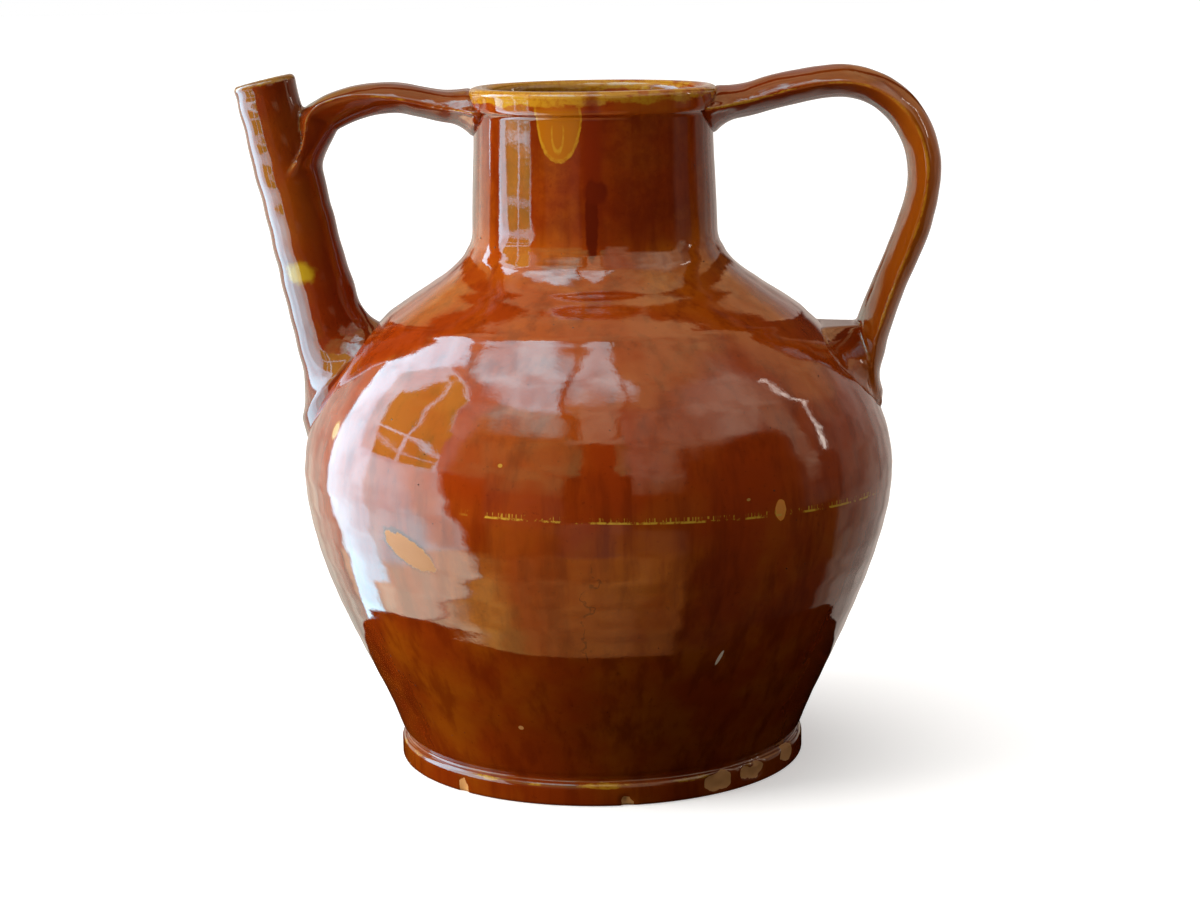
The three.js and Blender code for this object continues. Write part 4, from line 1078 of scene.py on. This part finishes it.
# Studio: a white table with a lamp overhead and a window lamp at the left. What the glaze mirrors stands on
# cards that only glossy rays meet: a window close by, a dark mat round the foot, and the room on a dome.
def card(name, mesh, material, seen_by):
    """A piece of the studio; seen_by names the kinds of ray that meet it."""
    mesh.materials.append(material)
    made = bpy.data.objects.new(name, mesh)
    bpy.context.scene.collection.objects.link(made)
    for kind in ("camera", "diffuse", "glossy", "transmission", "shadow"):
        setattr(made, "visible_" + kind, kind in seen_by)
    return made


TABLE_RADIUS = 14.0
MAT_SIZE = (0.186, 0.143)
MAT_WAVE = 0.012
CLOTH_RADIUS = 0.6
MAT_HEIGHT, CLOTH_HEIGHT = 0.4 * MM, 0.3 * MM


def flat(name, corners):
    """One flat face."""
    mesh = bpy.data.meshes.new(name)
    mesh.from_pydata(corners, [], [tuple(range(len(corners)))])
    return mesh


def oval_disc(name, half_length, half_depth, height, wave=0.0):
    """A flat oval, whose edge may wander by a share of its size."""
    points = []
    for step in range(120):
        turn = 2 * math.pi * step / 120
        reach = 1 + wave * (math.sin(3 * turn + 0.6) + 0.5 * math.sin(7 * turn) + 0.4 * math.sin(17 * turn))
        points.append((half_length * reach * math.cos(turn), half_depth * reach * math.sin(turn), height))
    return flat(name, points)


def seen_straight(tree):
    """1 for camera, glossy and transmission rays, which meet the white backdrop, and 0 for the rest."""
    ray = add(tree, "ShaderNodeLightPath")
    mirrored = add(tree, "ShaderNodeMath", [
        (ray, "Is Glossy Ray"), (ray, "Is Transmission Ray")], operation="MAXIMUM")
    return add(tree, "ShaderNodeMath", [(ray, "Is Camera Ray"), mirrored], operation="MAXIMUM")


def plain(name, code, one_sided=False, lift=0.0):
    """A dull even colour; one that is one-sided lets through what comes from below, and lift adds white
    that is only seen and lights nothing."""
    material = bpy.data.materials.new(name)
    material.use_nodes = True
    tree = material.node_tree
    shader = tree.nodes["Principled BSDF"]
    shader.inputs["Base Color"].default_value = to_linear(code)
    shader.inputs["Roughness"].default_value = 0.9
    shader.inputs["Specular IOR Level"].default_value = 0.0
    surface = (shader, "BSDF")
    if one_sided:
        behind = (add(tree, "ShaderNodeNewGeometry"), "Backfacing")
        clear = (add(tree, "ShaderNodeBsdfTransparent"), "BSDF")
        surface = (add(tree, "ShaderNodeMixShader", {0: behind, 1: surface, 2: clear}), "Shader")
    if lift:
        lifted = add(tree, "ShaderNodeMath", [seen_straight(tree), lift], operation="MULTIPLY")
        glow = add(tree, "ShaderNodeEmission", {"Strength": lifted})
        surface = (add(tree, "ShaderNodeAddShader", {0: surface, 1: (glow, "Emission")}), "Shader")
    tree.links.new(surface[0].outputs[surface[1]], tree.nodes["Material Output"].inputs["Surface"])
    return material


card("table", oval_disc("table", TABLE_RADIUS, TABLE_RADIUS, 0.0),
     plain("white_table", "#f6f5f3", lift=0.42), ("camera", "diffuse", "shadow"))
card("dark_mat", oval_disc("dark_mat", *MAT_SIZE, MAT_HEIGHT, MAT_WAVE),
     plain("dark_felt", "#0c0806"), ("glossy",))
card("dark_cloth", oval_disc("dark_cloth", CLOTH_RADIUS, CLOTH_RADIUS, CLOTH_HEIGHT),
     plain("dark_cloth", "#2a201a", one_sided=True), ("diffuse",))


def glow_of(code, bright):
    """A colour times its brightness."""
    return (*[channel * bright for channel in to_linear(code)[:3]], 1.0)


def patchwork(tree, across, up, ground, patches):
    """Glowing patches laid over one another. Each is a left and a right side as (place, lean), a bottom and
    a top, the softness of its sides and of its ends, a colour and a brightness; a side's lean moves it by
    that much for each step up."""
    colour = ground
    for left, right, low, high, (soft, ends), code, bright in patches:
        inside = add(tree, "ShaderNodeMapRange", [
            up, low - ends / 2, low + ends / 2], interpolation_type="SMOOTHSTEP")
        inside = add(tree, "ShaderNodeMath", [
            inside,
            add(tree, "ShaderNodeMapRange", [
                up, high + ends / 2, high - ends / 2], interpolation_type="SMOOTHSTEP")],
            operation="MULTIPLY")
        for (place, lean), side in ((left, 1), (right, -1)):
            off = add(tree, "ShaderNodeMath", [
                add(tree, "ShaderNodeMath", [up, -lean, across], operation="MULTIPLY_ADD"), place],
                operation="SUBTRACT")
            inside = add(tree, "ShaderNodeMath", [
                inside,
                add(tree, "ShaderNodeMapRange", [
                    off, -side * soft / 2, side * soft / 2], interpolation_type="SMOOTHSTEP")],
                operation="MULTIPLY")
        colour = add(tree, "ShaderNodeMix", {
            "Factor": inside, 6: colour, 7: glow_of(code, bright)}, data_type="RGBA")
    return colour


def dappled(tree, colour, where, scale, low, high):
    """A colour whose brightness is made uneven by noise."""
    spots = add(tree, "ShaderNodeTexNoise",
                {"Vector": where, "Scale": scale, "Detail": 5.0, "Roughness": 0.6})
    level = add(tree, "ShaderNodeMapRange", [
        (spots, "Fac"), 0.36, 0.64, low, high], interpolation_type="SMOOTHSTEP")
    scaled = add(tree, "ShaderNodeVectorMath", {0: colour, "Scale": level}, operation="SCALE")
    return scaled, "Vector"


def shaken(tree, where, amount, scale, detail, roughness):
    """A position moved about by noise, so that what is painted by it has ragged edges."""
    noise = add(tree, "ShaderNodeTexNoise",
                {"Vector": where, "Scale": scale, "Detail": detail, "Roughness": roughness})
    shift = add(tree, "ShaderNodeVectorMath", {0: (noise, "Color"), 1: (0.5, 0.5, 0.5)},
                operation="SUBTRACT")
    moved = add(tree, "ShaderNodeVectorMath", {0: (shift, "Vector"), 1: (amount, amount, amount), 2: where},
                operation="MULTIPLY_ADD")
    return moved, "Vector"


def glowing(name, build):
    """A material that only glows; build gives its colour, and may give a share that is clear."""
    material = bpy.data.materials.new(name)
    material.use_nodes = True
    tree = material.node_tree
    tree.nodes.clear()
    colour, clear = build(tree)
    surface = (add(tree, "ShaderNodeEmission", {"Color": colour}), "Emission")
    if clear:
        through = (add(tree, "ShaderNodeBsdfTransparent"), "BSDF")
        surface = (add(tree, "ShaderNodeMixShader", {0: clear, 1: surface, 2: through}), "Shader")
    add(tree, "ShaderNodeOutputMaterial", {"Surface": surface})
    return material


# Window at the left, close to the jug: a bright reveal, a pale sill below and panes between thin bars. Its
# patches are in metres, across from front to back and up from the table.
DAYLIGHT, PALE, LEAVES = "#b8ecff", "#bcf0fa", "#d4f274"
WINDOW_PLANE = -0.30
WINDOW_SIDES, WINDOW_ENDS = (-0.30, 0.24), (-0.14, 0.57)
CRISP, BLURRED = (0.005, 0.005), (0.012, 0.012)
WINDOW = [
    ((-0.262, 0.37), (0.020, -0.3), -0.13, 0.0, (0.06, 0.02), "#f0f0d8", 4.0),
    ((-0.280, 0.37), (0.080, 0.0), -0.02, 0.200, (0.012, 0.04), PALE, 5.2),
    ((-0.280, 0.37), (-0.200, 0.37), -0.02, 0.200, (0.06, 0.04), "#e0f0e8", 3.4),
    ((-0.245, 0.22), (0.060, 0.2), 0.195, 0.50, CRISP, PALE, 5.6),
    ((-0.045, 0.0), (0.098, 0.0), 0.05, 0.20, BLURRED, DAYLIGHT, 7.8),
    ((-0.035, 0.0), (0.066, 0.0), -0.04, 0.07, BLURRED, DAYLIGHT, 7.8),
    ((0.000, -0.60), (0.060, -0.90), -0.13, -0.01, BLURRED, DAYLIGHT, 7.4),
    ((-0.107, 0.52), (-0.002, 0.48), 0.170, 0.35, CRISP, DAYLIGHT, 7.8),
    ((0.190, -0.35), (0.282, -0.35), 0.330, 0.56, CRISP, DAYLIGHT, 8.2),
    ((-0.187, 0.0), (-0.132, 0.45), 0.197, 0.345, (0.003, 0.003), LEAVES, 1.65),
    ((-0.242, 0.22), (0.207, -0.56), 0.344, 0.49, (0.003, 0.003), LEAVES, 1.65),
    ((-0.132, 0.104), (-0.1265, 0.104), 0.197, 0.308, (0.0015, 0.0015), DAYLIGHT, 7.0),
    ((-0.1885, 0.288), (-0.183, 0.288), 0.306, 0.50, (0.0015, 0.0015), DAYLIGHT, 7.0),
    ((-0.19, 0.0), (-0.01, 0.0), 0.2275, 0.2315, (0.0015, 0.0015), PALE, 4.5),
    ((-0.19, 0.0), (-0.01, 0.0), 0.2535, 0.2605, (0.0015, 0.0015), PALE, 6.0),
    ((-0.055, 0.0), (-0.025, 0.0), 0.455, 0.485, CRISP, LEAVES, 1.4),
]


def window_colour(tree):
    """The window's colour, and a share that lets the room through wherever no patch lies."""
    place = (add(tree, "ShaderNodeTexCoord"), "Object")
    parts = add(tree, "ShaderNodeSeparateXYZ", {"Vector": shaken(tree, place, 0.011, 60.0, 5.0, 0.75)})
    colour = patchwork(tree, (parts, "Y"), (parts, "Z"), (0.0, 0.0, 0.0, 1.0), WINDOW)
    colour = dappled(tree, colour, place, 14.0, 0.86, 1.12)
    lit = add(tree, "ShaderNodeSeparateColor", {"Color": colour})
    return colour, add(tree, "ShaderNodeMapRange", [
        (lit, "Green"), 0.9, 0.3], interpolation_type="SMOOTHSTEP")


def window_pane():
    """The upright face that carries the window's patches."""
    (front, back), (bottom, top) = WINDOW_SIDES, WINDOW_ENDS
    corners = ((front, bottom), (back, bottom), (back, top), (front, top))
    return flat("window", [(WINDOW_PLANE, across, up) for across, up in corners])


card("window", window_pane(), glowing("window", window_colour), ("glossy",))


# The room on the dome: its patches are in degrees, across to the right of the camera and up.
SHADE, HAZE, WARM, RUST = "#ffe8d0", "#e6fff0", "#ffdc9c", "#ffb858"
ROOM = [
    ((-190, 0), (-60, 0), -60, 60, (14, 12), HAZE, 1.15),
    ((98, 0), (190, 0), -60, 60, (10, 10), "#ffe2c8", 0.30),
    ((134, 0), (230, 0), -60, 60, (50, 10), "#fff0e4", 0.62),
    ((-215, 0), (-160, 0), -60, 60, (30, 10), "#fff0e4", 0.62),
    ((-172, 0), (-112, 0), 22, 56, (24, 14), "#ffe08c", 0.78),
    ((112, 0), (172, 0), 24, 56, (24, 14), "#ffc488", 1.0),
    ((-190, 0), (190, 0), 57, 95, (12, 12), WARM, 1.2),
    ((-62, 0), (62, 0), 14, 58, (6, 10), "#b8ffa8", 0.60),
    ((-130, 0), (-56, 0), -60, -22, (10, 6), "#f8f0cc", 3.2),
    ((-70, 0), (-24, 0), -60, -26, (16, 20), "#ffcb6c", 1.9),
    ((-44, 0), (36, -0.3), -60, -22, (16, 26), "#ff9b50", 0.8),
    ((-40, 0), (28, 0.2), -60, -33, (10, 16), "#ffa85c", 1.3),
    ((-50, 0), (-12, 0), -30, -8, (24, 20), "#ffb858", 0.5),
    ((-62, 0), (-18, 0), 47, 60, (10, 8), "#b8fff0", 2.3),
    ((-104, 0), (48.7, -1.11), 58, 79.5, (3, 5), PALE, 5.6),
    ((-11, 0), (12, 0), 42, 68, (4, 6), "#f0e4b8", 1.7),
    ((-32, 0), (28, 0), 66, 92, (5, 6), "#d8f2f4", 4.2),
    ((26.5, -0.82), (31.5, -0.82), 44, 80, (2, 3), RUST, 0.5),
    ((-22, 0.58), (-17.5, 0.58), 46, 82, (2, 3), RUST, 0.6),
    ((10, 0), (62, 0), 14, 60, (6, 10), "#ffe4c0", 0.85),
    ((54, 0), (99, 0), 34, 60, (16, 12), "#ffecd0", 1.4),
    ((32, 0), (82, 0), -16, 31, (9, 9), SHADE, 0.02),
    ((12, 0), (34, 0), -16, 11, (3, 3), SHADE, 0.02),
    ((84, 0), (93, 0), 6, 40, (3, 6), "#ffe8c8", 0.8),
    ((93, 0), (104, 0), -12, 14, (3, 4), SHADE, 0.10),
    ((-65, 0), (-45, 0), -25, 14, (1.5, 3), SHADE, 0.02),
    ((-7, 0), (6, 0), 10, 42, (2, 2), SHADE, 0.02),
    ((-12, 0), (12, 0), -10, 22, (2, 3), SHADE, 0.02),
    ((-14, 0), (8, 0), -30, -8, (5, 6), SHADE, 0.25),
    ((30, -0.2), (94, -0.67), -60, -10, (4, 4), SHADE, 0.02),
    ((124.2, -0.58), (125.8, -0.58), 29, 43, (0.6, 2), "#fff4e8", 8.0),
    ((90.4, 0.53), (92, 0.53), 15, 30, (0.6, 2), "#fff4e8", 8.0),
]
DOME_RADIUS = 6.0


def room_colour(tree):
    """The room by direction from the jug, with its edges bent so that nothing is ruled straight, and a dark
    arch across its far side."""
    place = (add(tree, "ShaderNodeTexCoord"), "Object")
    way = (add(tree, "ShaderNodeVectorMath", {0: place}, operation="NORMALIZE"), "Vector")
    bent = shaken(tree, way, 0.19, 9.0, 7.0, 0.72)
    unit = add(tree, "ShaderNodeVectorMath", {0: bent}, operation="NORMALIZE")
    parts = add(tree, "ShaderNodeSeparateXYZ", {"Vector": (unit, "Vector")})
    behind = add(tree, "ShaderNodeMath", [(parts, "Y"), -1.0], operation="MULTIPLY")
    sideways = add(tree, "ShaderNodeMath", [
        add(tree, "ShaderNodeMath", [(parts, "X"), behind], operation="ARCTAN2")], operation="DEGREES")
    upward = add(tree, "ShaderNodeMath", [
        add(tree, "ShaderNodeMath", [(parts, "Z")], operation="ARCSINE")], operation="DEGREES")
    colour = patchwork(tree, sideways, upward, glow_of(SHADE, 0.15), ROOM)
    slant = add(tree, "ShaderNodeMath", [(parts, "Z"), 0.65, (parts, "Y")], operation="MULTIPLY_ADD")
    arch = add(tree, "ShaderNodeMapRange", [
        add(tree, "ShaderNodeMath", [
            add(tree, "ShaderNodeMath", [slant, 1.0], operation="SUBTRACT")], operation="ABSOLUTE"),
        0.060, 0.048], interpolation_type="SMOOTHSTEP")
    arch = add(tree, "ShaderNodeMath", [
        arch, add(tree, "ShaderNodeMapRange", [(parts, "Z"), 0.12, 0.20], interpolation_type="SMOOTHSTEP")],
        operation="MULTIPLY")
    colour = add(tree, "ShaderNodeMix", {
        "Factor": arch, 6: colour, 7: glow_of(SHADE, 0.02)}, data_type="RGBA")
    return dappled(tree, colour, way, 7.0, 0.70, 1.22), None


def dome(name, radius, rows, columns):
    """A ball round the jug, closed at both ends."""
    turns = np.linspace(0, 2 * math.pi, columns, endpoint=False)
    rings = []
    for row in range(1, rows):
        rise = math.pi * (row / rows - 0.5)
        out, up = radius * math.cos(rise), radius * math.sin(rise)
        rings.append([(out * math.cos(turn), out * math.sin(turn), up) for turn in turns])
    return surface_mesh(name, rings, closed=False, capped=True)


card("room_dome", dome("room_dome", DOME_RADIUS, 24, 48), glowing("mirrored_room", room_colour),
     ("glossy",))


def lamp(name, kind, place, aim, power, **settings):
    """A light that the glaze doesn't mirror, because the cards stand in for what it shows."""
    data = bpy.data.lights.new(name, kind)
    data.energy = power
    for key, value in settings.items():
        setattr(data, key, value)
    made = bpy.data.objects.new(name, data)
    made.location = place
    made.rotation_euler = (Vector(aim) - Vector(place)).to_track_quat("-Z", "Y").to_euler()
    bpy.context.scene.collection.objects.link(made)
    made.visible_glossy = False
    return made


lamp("overhead", "SUN", (-0.5, 0.1, 2), (0, 0, 0), 1.9, angle=math.radians(70))
lamp("window_key", "AREA", (-1.15, -0.3, 0.35), (0, 0, 0.13), 24, shape="RECTANGLE", size=0.8, size_y=1.0)

world = bpy.data.worlds.new("white_backdrop")
bpy.context.scene.world = world
world.use_nodes = True
air = world.node_tree
air.nodes.clear()
fill = add(air, "ShaderNodeBackground", {"Color": to_linear("#fffaf4"), "Strength": 0.28})
white = add(air, "ShaderNodeBackground", {"Color": (1.0, 1.0, 1.0, 1.0), "Strength": 1.0})
backdrop = add(air, "ShaderNodeMixShader",
               {0: seen_straight(air), 1: (fill, "Background"), 2: (white, "Background")})
add(air, "ShaderNodeOutputWorld", {"Surface": (backdrop, "Shader")})
